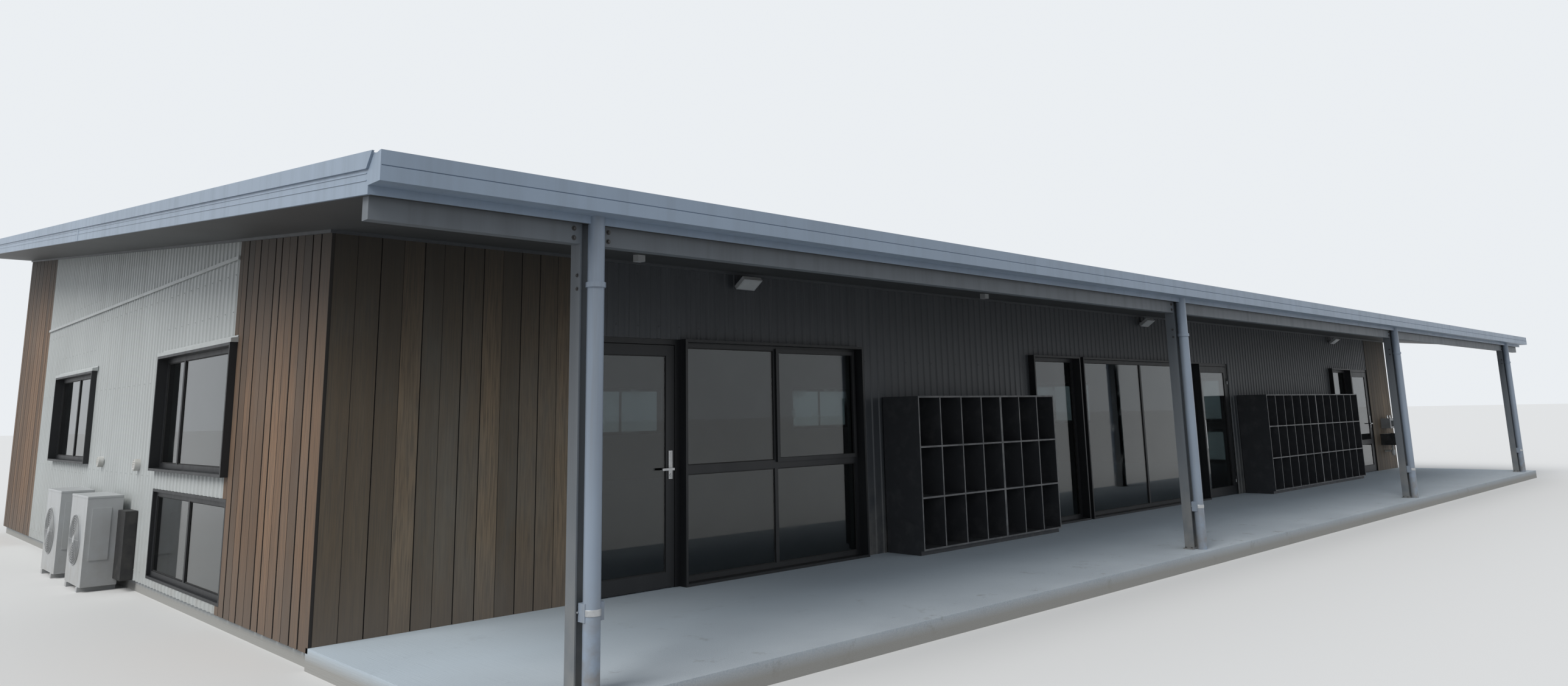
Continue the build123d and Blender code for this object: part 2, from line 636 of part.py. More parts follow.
# Filler posts between the entrance units
with BuildPart() as entrance_posts:
    block((SIDE_LIGHT[1], ENTRANCE_BOX[0]), (0, BOX_BACK), (FLOOR, HEAD))
    block((ENTRANCE_BOX[1], ENTRANCE_DOOR[0]), (0, BOX_BACK), (FLOOR, HEAD))
hand_in(entrance_posts, "entrance_posts")

# Doors: steel-grey framed glass leaves that open outwards
doors = {
    "near": (*NEAR_DOOR, "left", ()),
    "entrance": (*ENTRANCE_DOOR, "right", ()),
    "far": (*FAR_DOOR, "left", (FLOOR + 640, )),
}
frame_y = (FRAME_FACE, FRAME_FACE + FRAME_D)
leaf_y = (FRAME_FACE, FRAME_FACE + LEAF_T)
stop_y = (FRAME_FACE + LEAF_T + DOOR_GAP, FRAME_FACE + FRAME_D)
with BuildPart() as door_jambs:
    for a, b, hinge, rails in doors.values():
        block((a, a + FRAME_W), frame_y, (FLOOR, HEAD - FRAME_W))
        block((a, a + FRAME_W + STOP), stop_y, (FLOOR, HEAD - FRAME_W))
        block((b - FRAME_W, b), frame_y, (FLOOR, HEAD - FRAME_W))
        block((b - FRAME_W - STOP, b), stop_y, (FLOOR, HEAD - FRAME_W))
hand_in(door_jambs, "door_jambs")

with BuildPart() as door_heads:
    for a, b, hinge, rails in doors.values():
        block((a, b), frame_y, (HEAD - FRAME_W, HEAD))
        block((a + FRAME_W + STOP, b - FRAME_W - STOP), stop_y, (HEAD - FRAME_W - STOP, HEAD))
hand_in(door_heads, "door_heads")

# Lift-off hinges: the lower knuckle, its pin and a plate on the frame; the upper knuckle and a plate on the leaf
def hinge_origin(a, b, side):
    """Axis of a door's hinges, in front of the gap between leaf and frame."""
    gap = FRAME_W + DOOR_GAP / 2
    x = a + gap if side == "left" else b - gap
    return NEAR_X + x, FRONT_Y + FRAME_FACE - HINGE_OUT


def hinge_levels():
    return [HEAD - FRAME_W - HINGE_TOP, FLOOR + HINGE_FOOT]


def hinge_plate(way):
    """Outline of a hinge plate, on the side of the axis that way points to."""
    with Locations((way * (HINGE_CLEAR + HINGE_PLATE) / 2, HINGE_OUT - HINGE_T / 2)):
        Rectangle(HINGE_PLATE - HINGE_CLEAR, HINGE_T)


def knuckle(way):
    """Outline of a knuckle and the tongue that joins it to its plate."""
    Circle(KNUCKLE_R)
    with Locations((way * KNUCKLE_R / 2, HINGE_OUT - HINGE_T / 2)):
        Rectangle(KNUCKLE_R, HINGE_T)


HALF = HINGE_H / 2
with BuildPart() as door_hinges:
    for a, b, side, rails in doors.values():
        axis_x, axis_y = hinge_origin(a, b, side)
        way = -1 if side == "left" else 1
        for level in hinge_levels():
            foot = Plane(origin=(axis_x, axis_y, level - HALF))
            with BuildSketch(foot):
                Circle(PIN_R)
                hinge_plate(way)
            extrude(amount=HINGE_H)
            with BuildSketch(foot):
                knuckle(way)
            extrude(amount=HALF)
hand_in(door_hinges, "door_hinges")

for name, (a, b, hinge, rails) in doors.items():
    left = a + FRAME_W + DOOR_GAP
    right = b - FRAME_W - DOOR_GAP
    bottom = FLOOR + SILL_GAP
    top = HEAD - FRAME_W - DOOR_GAP
    panes = []
    levels = [bottom + BOTTOM_RAIL] + [r for r in rails] + [top - STILE]
    for low, high in zip(levels, levels[1:]):
        z_low = low + (MID_RAIL / 2 if low in rails else 0)
        z_high = high - (MID_RAIL / 2 if high in rails else 0)
        panes.append((z_low, z_high))
    with BuildPart() as leaf:
        block((left, right), leaf_y, (bottom, top))
        for pane in panes:
            block((left + STILE, right - STILE), (leaf_y[0] - 1, leaf_y[1] + 1), pane, Mode.SUBTRACT)
        axis_x, axis_y = hinge_origin(a, b, hinge)
        way = 1 if hinge == "left" else -1
        for level in hinge_levels():
            with BuildSketch(Plane(origin=(axis_x, axis_y, level + PIN_CLEAR))):
                knuckle(way)
                Circle(PIN_R + PIN_CLEAR, mode=Mode.SUBTRACT)
            extrude(amount=HALF - PIN_CLEAR)
            with BuildSketch(Plane(origin=(axis_x, axis_y, level - HALF))):
                hinge_plate(way)
            extrude(amount=HINGE_H)
    hand_in(leaf, f"{name}_door_leaf")
    pane_y = (leaf_y[0] + (LEAF_T - GLASS_T) / 2, leaf_y[1] - (LEAF_T - GLASS_T) / 2)
    with BuildPart() as glass:
        for pane in panes:
            block((left + STILE, right - STILE), pane_y, pane)
    hand_in(glass, f"{name}_door_glass")
    latch = right - STILE / 2 if hinge == "left" else left + STILE / 2
    inward = -1 if hinge == "left" else 1
    with BuildPart() as handle:
        if name == "entrance":
            for end in (-1, 1):
                leg = (NEAR_X + latch, FRONT_Y + leaf_y[0], HANDLE_Z + end * (PULL_H - PULL_D) / 2)
                with BuildSketch(Plane(origin=leg, z_dir=(0, -1, 0))):
                    Circle(PULL_D / 2)
                extrude(amount=PULL_OUT - PULL_D / 2)
            with BuildSketch(Plane(origin=(NEAR_X + latch, FRONT_Y + leaf_y[0] - PULL_OUT + PULL_D / 2,
                                           HANDLE_Z - PULL_H / 2))):
                Circle(PULL_D / 2)
            extrude(amount=PULL_H)
        else:
            plate_z = (HANDLE_Z - PLATE_H * LEVER_DROP, HANDLE_Z + PLATE_H * (1 - LEVER_DROP))
            for face, way in ((leaf_y[0], -1), (leaf_y[1], 1)):
                block((latch - PLATE_W / 2, latch + PLATE_W / 2), sorted((face, face + way * 8)), plate_z)
                block((latch - LEVER_D / 2, latch + LEVER_D / 2), sorted((face, face + way * LEVER_OUT)),
                      (HANDLE_Z - LEVER_D / 2, HANDLE_Z + LEVER_D / 2))
                lever_x = sorted((latch - inward * LEVER_D / 2, latch + inward * LEVER_L))
                block(lever_x, sorted((face + way * (LEVER_OUT - LEVER_T), face + way * LEVER_OUT)),
                      (HANDLE_Z - LEVER_D / 2, HANDLE_Z + LEVER_D / 2))
    hand_in(handle, f"{name}_door_handle")


# Bag shelves against the front wall: long boards with upright dividers between them
def shelf_runs(start, units):
    """Near and far face of every unit."""
    runs = []
    x = start
    for bays in units:
        width = bays * SHELF_W
        runs.append((x, x + width, bays))
        x += width
    return runs


def shelf_levels():
    step = (SHELF_H - SHELF_KICK - SHELF_BOARD) / SHELF_ROWS
    return [FLOOR + SHELF_KICK + i * step for i in range(SHELF_ROWS + 1)]


def shelf_bays(start, end):
    """Whole bays that fit beside each other, in two units."""
    bays = int((end - start - SHELF_SPARE) // SHELF_W)
    return (bays + 1) // 2, bays // 2


near_start = NEAR_WINDOW[1] + SHELF_START
far_start = ENTRANCE_DOOR[1] + SHELF_START_FAR
shelves = (
    (near_start, shelf_bays(NEAR_WINDOW[1], ENTRANCE[0])),
    (far_start, shelf_bays(ENTRANCE_DOOR[1], FAR_WINDOW[0])),
)
shelf_y = (-SHELF_OFF - SHELF_D, -SHELF_OFF - SHELF_BACK)
levels = shelf_levels()
with BuildPart() as shelf_boards:
    for start, units in shelves:
        total = sum(units) * SHELF_W
        for level in levels:
            block((start, start + total), shelf_y, (level, level + SHELF_BOARD))
        block((start, start + total), (shelf_y[0] + 40, shelf_y[1]), (FLOOR, FLOOR + SHELF_KICK))
hand_in(shelf_boards, "shelf_boards")

with BuildPart() as shelf_dividers:
    for start, units in shelves:
        for low, high in zip(levels, levels[1:]):
            for x0, x1, bays in shelf_runs(start, units):
                block((x0, x0 + SHELF_BOARD), shelf_y, (low + SHELF_BOARD, high))
                block((x1 - SHELF_BOARD, x1), shelf_y, (low + SHELF_BOARD, high))
                for i in range(1, bays):
                    centre = x0 + i * SHELF_W
                    edge = (centre - SHELF_BOARD / 2, centre + SHELF_BOARD / 2)
                    block(edge, shelf_y, (low + SHELF_BOARD, high))
hand_in(shelf_dividers, "shelf_dividers")

with BuildPart() as shelf_backs:
    for start, units in shelves:
        total = sum(units) * SHELF_W
        block((start, start + total), (shelf_y[1], -SHELF_OFF), (FLOOR, FLOOR + SHELF_H))
hand_in(shelf_backs, "shelf_backs")

# Lights high on the front wall, each tilted down on a bracket, and two sensors under the soffit
with BuildPart() as floodlights:
    for x in (LIGHT_FIRST, LIGHT_FIRST + LIGHT_PITCH, LIGHT_FIRST + 2 * LIGHT_PITCH):
        with Locations(Location((NEAR_X + x, FRONT_Y - 110, LIGHT_Z), (-LIGHT_TILT, 0, 0))):
            Box(LIGHT_W, LIGHT_L, LIGHT_T)
        block((x - 30, x + 30), (-110, 0), (LIGHT_Z - 10, LIGHT_Z + 10))
    for x in (SENSOR_X, SENSOR_X + SENSOR_PITCH):
        block((x - 35, x + 35), (-SENSOR_Y - 35, -SENSOR_Y + 35), (soffit(-SENSOR_Y) - 55, soffit(0)))
    under_roof()
hand_in(floodlights, "floodlights")

# Heat pumps on feet with a fan ring each, and the covers of their pipes, by the near end wall
pump_start = END_WINDOW[1] + PUMP_Y
pump_x = (-PUMP_GAP - PUMP_D, -PUMP_GAP)
pump_y = [pump_start, pump_start + PUMP_PITCH]
fan_z = (PUMP_FOOT + PUMP_TOP) / 2
with BuildPart() as heat_pumps:
    for y in pump_y:
        block((pump_x[0] + 12, pump_x[1]), (y, y + PUMP_L), (PUMP_FOOT, PUMP_TOP))
        for foot in (y + 80, y + PUMP_L - 160):
            block((pump_x[0] + 2, pump_x[1] + 10), (foot, foot + 80), (0, PUMP_FOOT))
        fan_face = Plane(origin=(NEAR_X + pump_x[0] + 12, FRONT_Y + y + PUMP_L * 0.56, fan_z), z_dir=(-1, 0, 0))
        with BuildSketch(fan_face):
            Circle(FAN_D / 2)
        extrude(amount=12)
        block((pump_x[0] + 60, pump_x[0] + 230), (y - 8, y), (PUMP_FOOT + 260, PUMP_FOOT + 780))
hand_in(heat_pumps, "heat_pumps")

with BuildPart() as pipe_cover:
    block((-COVER_OUT, 0), (pump_y[0] - COVER_W, pump_y[0]), (LOW, COVER_TOP))
    block((-PUMP_GAP, 0), (pump_y[1] + 60, pump_y[1] + 60 + COVER_W / 2), (LOW, COVER_TOP / 2))
hand_in(pipe_cover, "pipe_cover")

with BuildPart() as wall_vents:
    for y in (END_WINDOW[1] + VENT_NEAR, END_WINDOW_FAR[0] - VENT_FAR):
        with BuildSketch(end_plane(0)):
            with Locations((y, SILL_Z + VENT_UP)):
                Circle(VENT_R)
        extrude(amount=-50)
hand_in(wall_vents, "wall_vents")

# Drinking trough and tap box on the far cedar: an open trough, and a shelf of sheet round the taps
trough_x = (LENGTH - CEDAR_FAR + TROUGH_X, LENGTH - CEDAR_FAR + TROUGH_X + TROUGH_L)
tap_middle = sum(trough_x) / 2
tap_x = (tap_middle - TAP_BOX_W / 2, tap_middle + TAP_BOX_W / 2)
tap_z = (TAP_BOX_Z, TAP_BOX_Z + TAP_BOX_H)
with BuildPart() as drink_trough:
    block(trough_x, (-TROUGH_W, 0), (TROUGH_Z, TROUGH_Z + TROUGH_H))
    block((trough_x[0] + 30, trough_x[1] - 30), (-TROUGH_W + 30, -30), (TROUGH_Z + 57, TROUGH_Z + TROUGH_H + 1),
          Mode.SUBTRACT)
    block(tap_x, (-TAP_BOX_D, 0), tap_z)
    block((tap_x[0] + 60, tap_x[1] - 60), (-TAP_BOX_D - 1, -40), (tap_z[0] + 40, tap_z[1] - 50), Mode.SUBTRACT)
    for x in (tap_middle - 90, tap_middle + 90):
        with BuildSketch(Plane.XY.offset(tap_z[1])):
            with Locations((NEAR_X + x, FRONT_Y - 110)):
                Circle(16)
        extrude(amount=60)
hand_in(drink_trough, "drink_trough")
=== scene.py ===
import math
import random

import bpy
from mathutils import Matrix, Vector


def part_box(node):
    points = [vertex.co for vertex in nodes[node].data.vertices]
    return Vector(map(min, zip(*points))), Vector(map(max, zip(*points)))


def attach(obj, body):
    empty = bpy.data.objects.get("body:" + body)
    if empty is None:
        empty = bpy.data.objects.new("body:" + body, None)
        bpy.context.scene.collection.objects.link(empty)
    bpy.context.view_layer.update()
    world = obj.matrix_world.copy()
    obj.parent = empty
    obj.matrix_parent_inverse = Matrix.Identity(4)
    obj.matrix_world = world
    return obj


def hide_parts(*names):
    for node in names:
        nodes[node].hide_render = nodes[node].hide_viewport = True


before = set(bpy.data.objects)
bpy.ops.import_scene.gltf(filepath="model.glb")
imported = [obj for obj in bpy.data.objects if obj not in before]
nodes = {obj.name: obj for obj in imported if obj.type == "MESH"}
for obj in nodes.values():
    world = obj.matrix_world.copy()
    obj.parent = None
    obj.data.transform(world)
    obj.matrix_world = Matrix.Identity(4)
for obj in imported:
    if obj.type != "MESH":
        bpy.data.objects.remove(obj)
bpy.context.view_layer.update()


# The camera stands at eye height on open ground off the near front corner of the walls.
# Its lens, tilt and shift are those of the photograph, taken with the eaves high in the frame.
NEAR_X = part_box("pale_cladding")[0].x
FRONT_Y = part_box("cedar_cladding")[0].y
EYE_HEIGHT = 1.65
bpy.ops.object.camera_add(location=(NEAR_X - 2.697, FRONT_Y - 7.505, EYE_HEIGHT))
camera = bpy.context.object
camera.data.lens = 23.346
camera.data.sensor_width = 36.0
camera.data.shift_y = -0.07135
camera.data.clip_end = 500.0
turn = Matrix.Rotation(math.radians(-44.082), 4, "Z")
tilt = Matrix.Rotation(math.radians(100.184), 4, "X")
roll = Matrix.Rotation(math.radians(-1.176), 4, "Z")
camera.rotation_euler = (turn @ tilt @ roll).to_euler()
bpy.context.scene.camera = camera
bpy.context.scene.view_settings.view_transform = "Standard"


# A plain pale studio floor level with the underside of the slabs, under a plain pale sky and one
# soft lamp. Seen directly or in gloss, floor and sky are paler than the light they give, so the
# eaves keep their shade.
def shader_tree(name):
    """A new material and its empty node tree."""
    material = bpy.data.materials.new(name)
    material.use_nodes = True
    material.node_tree.nodes.clear()
    return material, material.node_tree


def add(tree, kind, inputs=None, **settings):
    """One shader node: its inputs are numbers, colours or sockets to link."""
    node = tree.nodes.new(kind)
    for key, value in settings.items():
        setattr(node, key, value)
    for key, value in (inputs or {}).items():
        if isinstance(value, bpy.types.NodeSocket):
            tree.links.new(value, node.inputs[key])
        else:
            node.inputs[key].default_value = value
    return node


def looked_at(tree):
    """1 for rays from the camera, from gloss and through glass, 0 for rays that light the part."""
    rays = add(tree, "ShaderNodeLightPath").outputs
    direct = add(tree, "ShaderNodeMath", {0: rays["Is Camera Ray"], 1: rays["Is Glossy Ray"]},
                 operation="MAXIMUM").outputs[0]
    return add(tree, "ShaderNodeMath", {0: direct, 1: rays["Is Transmission Ray"]},
               operation="MAXIMUM").outputs[0]


def deselect():
    if bpy.context.mode != "OBJECT":
        bpy.ops.object.mode_set(mode="OBJECT")
    bpy.ops.object.select_all(action="DESELECT")


deselect()
bpy.ops.mesh.primitive_plane_add(size=700.0, location=(0.0, 0.0, 0.0))
studio_floor = bpy.context.object
studio_floor.name = "studio_floor"
material, tree = shader_tree("studio floor")
lit = add(tree, "ShaderNodeBsdfDiffuse", {"Color": (0.30, 0.30, 0.30, 1.0)})
shown = add(tree, "ShaderNodeBsdfDiffuse", {"Color": (0.80, 0.80, 0.79, 1.0)})
pale = add(tree, "ShaderNodeMixShader", {0: looked_at(tree), 1: lit.outputs[0], 2: shown.outputs[0]})
add(tree, "ShaderNodeOutputMaterial", {"Surface": pale.outputs[0]})
studio_floor.data.materials.append(material)

world = bpy.data.worlds.new("studio sky")
bpy.context.scene.world = world
world.use_nodes = True
tree = world.node_tree
tree.nodes.clear()
light = add(tree, "ShaderNodeBackground", {"Color": (0.90, 0.94, 1.0, 1.0), "Strength": 0.60})
shown = add(tree, "ShaderNodeBackground", {"Color": (0.83, 0.86, 0.89, 1.0), "Strength": 1.0})
sky = add(tree, "ShaderNodeMixShader", {0: looked_at(tree), 1: light.outputs[0], 2: shown.outputs[0]})
add(tree, "ShaderNodeOutputWorld", {"Surface": sky.outputs[0]})

bpy.ops.object.light_add(type="SUN", location=(-20.0, -25.0, 30.0))
soft_lamp = bpy.context.object
soft_lamp.name = "soft_lamp"
soft_lamp.data.energy = 1.8
soft_lamp.data.angle = math.radians(35.0)
soft_lamp.data.color = (1.0, 0.985, 0.96)
soft_lamp.rotation_euler = Vector((-0.70, -0.10, 0.70)).to_track_quat("Z", "Y").to_euler()


# The floor slab and the veranda slab are cast concrete, poured on the ground and finished with a
# broom. Grey with cloudy stains and fine broom lines, and a blue cast of painted sky light that turns
# paler and bluer deeper under the veranda; the sides are darker towards the ground.
FAR_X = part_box("pale_cladding")[1].x
REAR_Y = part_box("cedar_cladding")[1].y
SLAB_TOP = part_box("veranda_slab")[1].z


def mixed(tree, factor, a, b, way="MIX"):
    """Colour a turning to colour b by factor; each is a socket, or its red, green and blue."""
    a, b = (side if isinstance(side, bpy.types.NodeSocket) else (*side, 1.0) for side in (a, b))
    inputs = {0: factor, 6: a, 7: b}
    return add(tree, "ShaderNodeMix", inputs, data_type="RGBA", blend_type=way).outputs[2]


def spread(tree, value, low, high, out_low=0.0, out_high=1.0):
    """A value stretched from one range to another, held at its ends."""
    node = add(tree, "ShaderNodeMapRange", {"Value": value, "From Min": low, "From Max": high,
                                            "To Min": out_low, "To Max": out_high})
    return node.outputs["Result"]


def own_place(tree):
    """The x, y and z of a point on the piece."""
    place = add(tree, "ShaderNodeTexCoord").outputs["Object"]
    return add(tree, "ShaderNodeSeparateXYZ", {"Vector": place}).outputs


def pattern(tree, scale, detail=4.0, rough=0.55, stretch=(1.0, 1.0, 1.0)):
    """Cloudy noise in metres on the piece's own coordinates."""
    place = add(tree, "ShaderNodeTexCoord").outputs["Object"]
    mapping = add(tree, "ShaderNodeMapping", {"Vector": place, "Scale": stretch})
    inputs = {"Vector": mapping.outputs[0], "Scale": scale, "Detail": detail, "Roughness": rough}
    return add(tree, "ShaderNodeTexNoise", inputs).outputs[0]


def bumped(tree, value, distance, strength=1.0):
    inputs = {"Height": value, "Distance": distance, "Strength": strength}
    return add(tree, "ShaderNodeBump", inputs).outputs[0]


def surface(tree, **inputs):
    """The principled shader and the material's output."""
    named = {key.replace("_", " ").title().replace("Ior", "IOR"): inputs[key] for key in inputs}
    shader = add(tree, "ShaderNodeBsdfPrincipled", named)
    add(tree, "ShaderNodeOutputMaterial", {"Surface": shader.outputs[0]})


def dress(material, *names):
    """Gives CAD nodes their finish."""
    for name in names:
        for slot in nodes[name].material_slots:
            slot.material = material


concrete, tree = shader_tree("broomed concrete")
stain = spread(tree, pattern(tree, 0.9, 5.0, 0.6), 0.38, 0.62)
colour = mixed(tree, stain, (0.388, 0.450, 0.505), (0.495, 0.560, 0.612))
sand = spread(tree, pattern(tree, 160.0, 2.0), 0.35, 0.65)
colour = mixed(tree, sand, colour, (0.55, 0.595, 0.63))
spots = spread(tree, pattern(tree, 4.0, 6.0, 0.7), 0.60, 0.72)
colour = mixed(tree, spots, colour, (0.31, 0.33, 0.34))
# Painted sky light: deeper under the veranda roof the slab turns paler and bluer.
painted_sky_light = spread(tree, own_place(tree)["Y"], FRONT_Y - 2.50, FRONT_Y - 1.20, 0.0, 0.75)
colour = mixed(tree, painted_sky_light, colour, (0.60, 0.70, 0.78))
# The slab's sides turn darker towards the ground.
low_side_darkening = spread(tree, own_place(tree)["Z"], 0.06, 0.148, 0.85, 0.0)
colour = mixed(tree, low_side_darkening, colour, (0.37, 0.352, 0.315))
broom = pattern(tree, 140.0, 2.0, 0.5, (1.0, 0.02, 1.0))
surface(tree, base_color=colour, roughness=spread(tree, stain, 0.0, 1.0, 0.78, 0.92),
        normal=bumped(tree, broom, 0.002, 0.6))
dress(concrete, "floor_slab", "veranda_slab")


# The walls are timber frames lined inside with painted board, and stand behind the cladding.
# Nothing of them shows outside; inside they are off-white, rolled on, with a faint orange peel.
lining, tree = shader_tree("painted wall lining")
cloud = spread(tree, pattern(tree, 0.7), 0.35, 0.65)
surface(tree, base_color=mixed(tree, cloud, (0.66, 0.65, 0.61), (0.72, 0.71, 0.67)),
        roughness=0.62, normal=bumped(tree, pattern(tree, 260.0, 2.0), 0.0006, 0.5))
dress(lining, "front_wall", "front_infill_walls", "near_end_wall", "far_end_wall", "rear_wall")


# Cedar boards stand upright round all four corners, nailed over battens: close on the front, open
# on the ends. Sawn and planed, each board its own brown; the front faces carry a painted cool tint of
# sky light in shade, and painted shade darkens the boards close under the eaves.
TAN = math.tan(math.radians(6.0))
SOFFIT_FRONT = 3.035
LENGTH = FAR_X - NEAR_X
DEPTH = REAR_Y - FRONT_Y
LOW = 0.114
HEAD = 2.350
SILL = 1.220


def soffit(y):
    """Height of the soffit, y from the front wall face."""
    return SOFFIT_FRONT + y * TAN


def joined(parts):
    """Joins objects into the first."""
    deselect()
    for part in parts:
        part.select_set(True)
    bpy.context.view_layer.objects.active = parts[0]
    if len(parts) > 1:
        bpy.ops.object.join()
    return bpy.context.object


def finish_piece(parts, name, material, body="building"):
    """Joins parts into one named piece, sets its place into its mesh, and fixes it to its body."""
    piece = joined(parts)
    bpy.ops.object.transform_apply(location=True, rotation=True, scale=True)
    piece.name = name
    piece.data.name = name
    piece.data.materials.clear()
    piece.data.materials.append(material)
    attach(piece, body)
    return piece


def box_at(low, high):
    """A cube primitive with these corners."""
    deselect()
    middle = [(a + b) / 2 for a, b in zip(low, high)]
    size = [b - a for a, b in zip(low, high)]
    bpy.ops.mesh.primitive_cube_add(size=1.0, location=middle, scale=size)
    bpy.ops.object.transform_apply(location=True, rotation=True, scale=True)
    return bpy.context.object


def bevel_edges(piece, width, chosen, segments=2):
    """Bevels the edges that chosen picks from their two end points."""
    deselect()
    bpy.context.view_layer.objects.active = piece
    bpy.ops.object.mode_set(mode="EDIT")
    bpy.ops.mesh.select_all(action="DESELECT")
    bpy.ops.object.mode_set(mode="OBJECT")
    points = [v.co for v in piece.data.vertices]
    for edge in piece.data.edges:
        edge.select = chosen(points[edge.vertices[0]], points[edge.vertices[1]])
    bpy.ops.object.mode_set(mode="EDIT")
    bpy.ops.mesh.select_mode(type="EDGE")
    bpy.ops.mesh.bevel(offset=width, segments=segments, affect="EDGES")
    bpy.ops.object.mode_set(mode="OBJECT")


# Where a wall's own coordinates lie: sideways from its corner, up, and out of the wall
wall_places = {
    "front": Matrix(((1, 0, 0, NEAR_X), (0, 0, -1, FRONT_Y), (0, 1, 0, 0), (0, 0, 0, 1))),
    "near": Matrix(((0, 0, -1, NEAR_X), (-1, 0, 0, FRONT_Y), (0, 1, 0, 0), (0, 0, 0, 1))),
    "far": Matrix(((0, 0, 1, FAR_X), (1, 0, 0, FRONT_Y), (0, 1, 0, 0), (0, 0, 0, 1))),
    "rear": Matrix(((-1, 0, 0, NEAR_X), (0, 0, 1, REAR_Y), (0, 1, 0, 0), (0, 0, 0, 1))),
}
runs_back = {"front": 1.0, "near": -1.0, "far": 1.0, "rear": -1.0}


def top_at(wall, side):
    """Height of the soffit over a point of a wall."""
    if wall == "front":
        return soffit(0.0)
    if wall == "rear":
        return soffit(DEPTH)
    return soffit(side)


def stood_up(piece, wall):
    """Moves a mesh made in a wall's coordinates to its place."""
    piece.data.transform(wall_places[wall])
    return piece


plain_board = box_at((0.0, 0.0, -0.022), (1.0, 1.0, 0.0))
bevel_edges(plain_board, 0.002, lambda a, b: abs(a.y - b.y) > 0.5 and min(a.z, b.z) > -0.001, 1)
chance = random.Random(7)
SIDE_TONE = -1.0  # marks the sides of a board, painted dark with dirt and the shade of the joints
cedar_parts = []


def cedar_board(wall, start, end, low, high=None):
    """One upright board from start to end along a wall; with no top it is cut to the soffit."""
    board = bpy.data.objects.new("cedar board", plain_board.data.copy())
    bpy.context.collection.objects.link(board)
    left, right = sorted((start * runs_back[wall], end * runs_back[wall]))
    for v in board.data.vertices:
        inset = min(v.co.x, 1.0 - v.co.x)
        x = left + inset if v.co.x < 0.5 else right - inset
        top = high if high else top_at(wall, x * runs_back[wall]) - 0.004
        v.co = (x, low if v.co.y < 0.5 else top, v.co.z)
    shade = chance.random()
    tones = [SIDE_TONE if abs(face.normal.x) > 0.5 else shade for face in board.data.polygons]
    board.data.attributes.new("board_tone", "FLOAT", "FACE").data.foreach_set("value", tones)
    cedar_parts.append(stood_up(board, wall))


def even_gaps(start, end):
    """Board edges about 170 mm apart, each a little off."""
    count = round((end - start) / 0.170)
    step = (end - start) / count
    inner = [start + i * step + chance.uniform(-0.008, 0.008) for i in range(1, count)]
    return [start] + inner + [end]


CEDAR_END = 2.036  # boards along an end wall from the front corner
CEDAR_REAR = 2.450  # along an end wall from the rear corner
CEDAR_FRONT = 2.200  # along the front and the rear wall from the near corner
CEDAR_FAR = 1.410  # along the front from the far corner
CORNER = 0.023  # the end walls' boards cover this much at a corner
LOW_LIGHT = (0.183, 1.042)
near_end_gaps = (0.0, 0.202, 0.376, 0.550, 0.716, 0.886, 1.057, 1.210, 1.397, 1.584, 1.742, 1.899,
                 CEDAR_END)
near_front_gaps = (CORNER, 0.193, 0.371, 0.544, 0.710, 0.868, 1.033, 1.205, 1.375, 1.545, 1.715,
                   1.885, 2.045, CEDAR_FRONT)
narrow_joints = (0.550, 0.886, 1.397, 1.742, 0.193, 0.544, 0.868, 1.375, 1.885)
cedar_runs = (
    ("near", near_end_gaps, LOW),
    ("front", near_front_gaps, SLAB_TOP),
    ("far", even_gaps(0.0, CEDAR_END), LOW),
    ("front", even_gaps(LENGTH - CEDAR_FAR, LENGTH - CORNER), SLAB_TOP),
    ("near", even_gaps(DEPTH - CEDAR_REAR, DEPTH), LOW),
    ("far", even_gaps(DEPTH - CEDAR_REAR, DEPTH), LOW),
    ("rear", even_gaps(CORNER, CEDAR_FRONT), LOW),
    ("rear", even_gaps(LENGTH - CEDAR_FRONT, LENGTH - CORNER), LOW),
)
for wall, gaps, low in cedar_runs:
    narrow, wide = (0.0005, 0.0025) if wall == "front" else (0.0030, 0.0110)
    paired = gaps[0] > 1.0
    joints = [0.0]
    for index, gap in enumerate(gaps[1:-1]):
        joints.append(narrow if gap in narrow_joints or paired and index % 2 else wide)
    joints.append(0.0)
    for index, (start, end) in enumerate(zip(gaps, gaps[1:])):
        cedar_board(wall, start + joints[index], end - joints[index + 1], low)

# A last narrow board by each end wall's first window is cut round the window and the low light
for wall in ("near", "far"):
    for low, high in ((LOW, LOW_LIGHT[0]), (LOW_LIGHT[1], SILL - 0.002), (HEAD + 0.062, None)):
        cedar_board(wall, 2.040, 2.138, low, high)
bpy.data.objects.remove(plain_board)

cedar, tree = shader_tree("weathered cedar with painted shade")
tone = add(tree, "ShaderNodeAttribute", attribute_name="board_tone").outputs["Fac"]
place = add(tree, "ShaderNodeTexCoord").outputs["Object"]
shift = add(tree, "ShaderNodeMath", {0: tone, 1: 37.0}, operation="MULTIPLY").outputs[0]
shift = add(tree, "ShaderNodeCombineXYZ", {"Z": shift}).outputs[0]
shifted = add(tree, "ShaderNodeVectorMath", {0: place, 1: shift}, operation="ADD").outputs[0]
mapping = add(tree, "ShaderNodeMapping", {"Vector": shifted, "Scale": (1.0, 1.0, 0.035)}).outputs[0]
fine = {"Vector": mapping, "Scale": 95.0, "Detail": 6.0, "Roughness": 0.62}
grain = add(tree, "ShaderNodeTexNoise", fine).outputs[0]
broad = add(tree, "ShaderNodeTexNoise", {"Vector": mapping, "Scale": 14.0, "Detail": 4.0}).outputs[0]
colour = mixed(tree, tone, (0.105, 0.066, 0.041), (0.300, 0.180, 0.105))
bands = spread(tree, broad, 0.35, 0.65, 0.0, 0.4)
colour = mixed(tree, bands, colour, (0.180, 0.118, 0.076))
lines = spread(tree, grain, 0.42, 0.64, 0.0, 0.75)
colour = mixed(tree, lines, colour, (0.100, 0.068, 0.048))
silver = spread(tree, pattern(tree, 1.3, 5.0, 0.6, (1.0, 1.0, 0.35)), 0.50, 0.72, 0.0, 0.35)
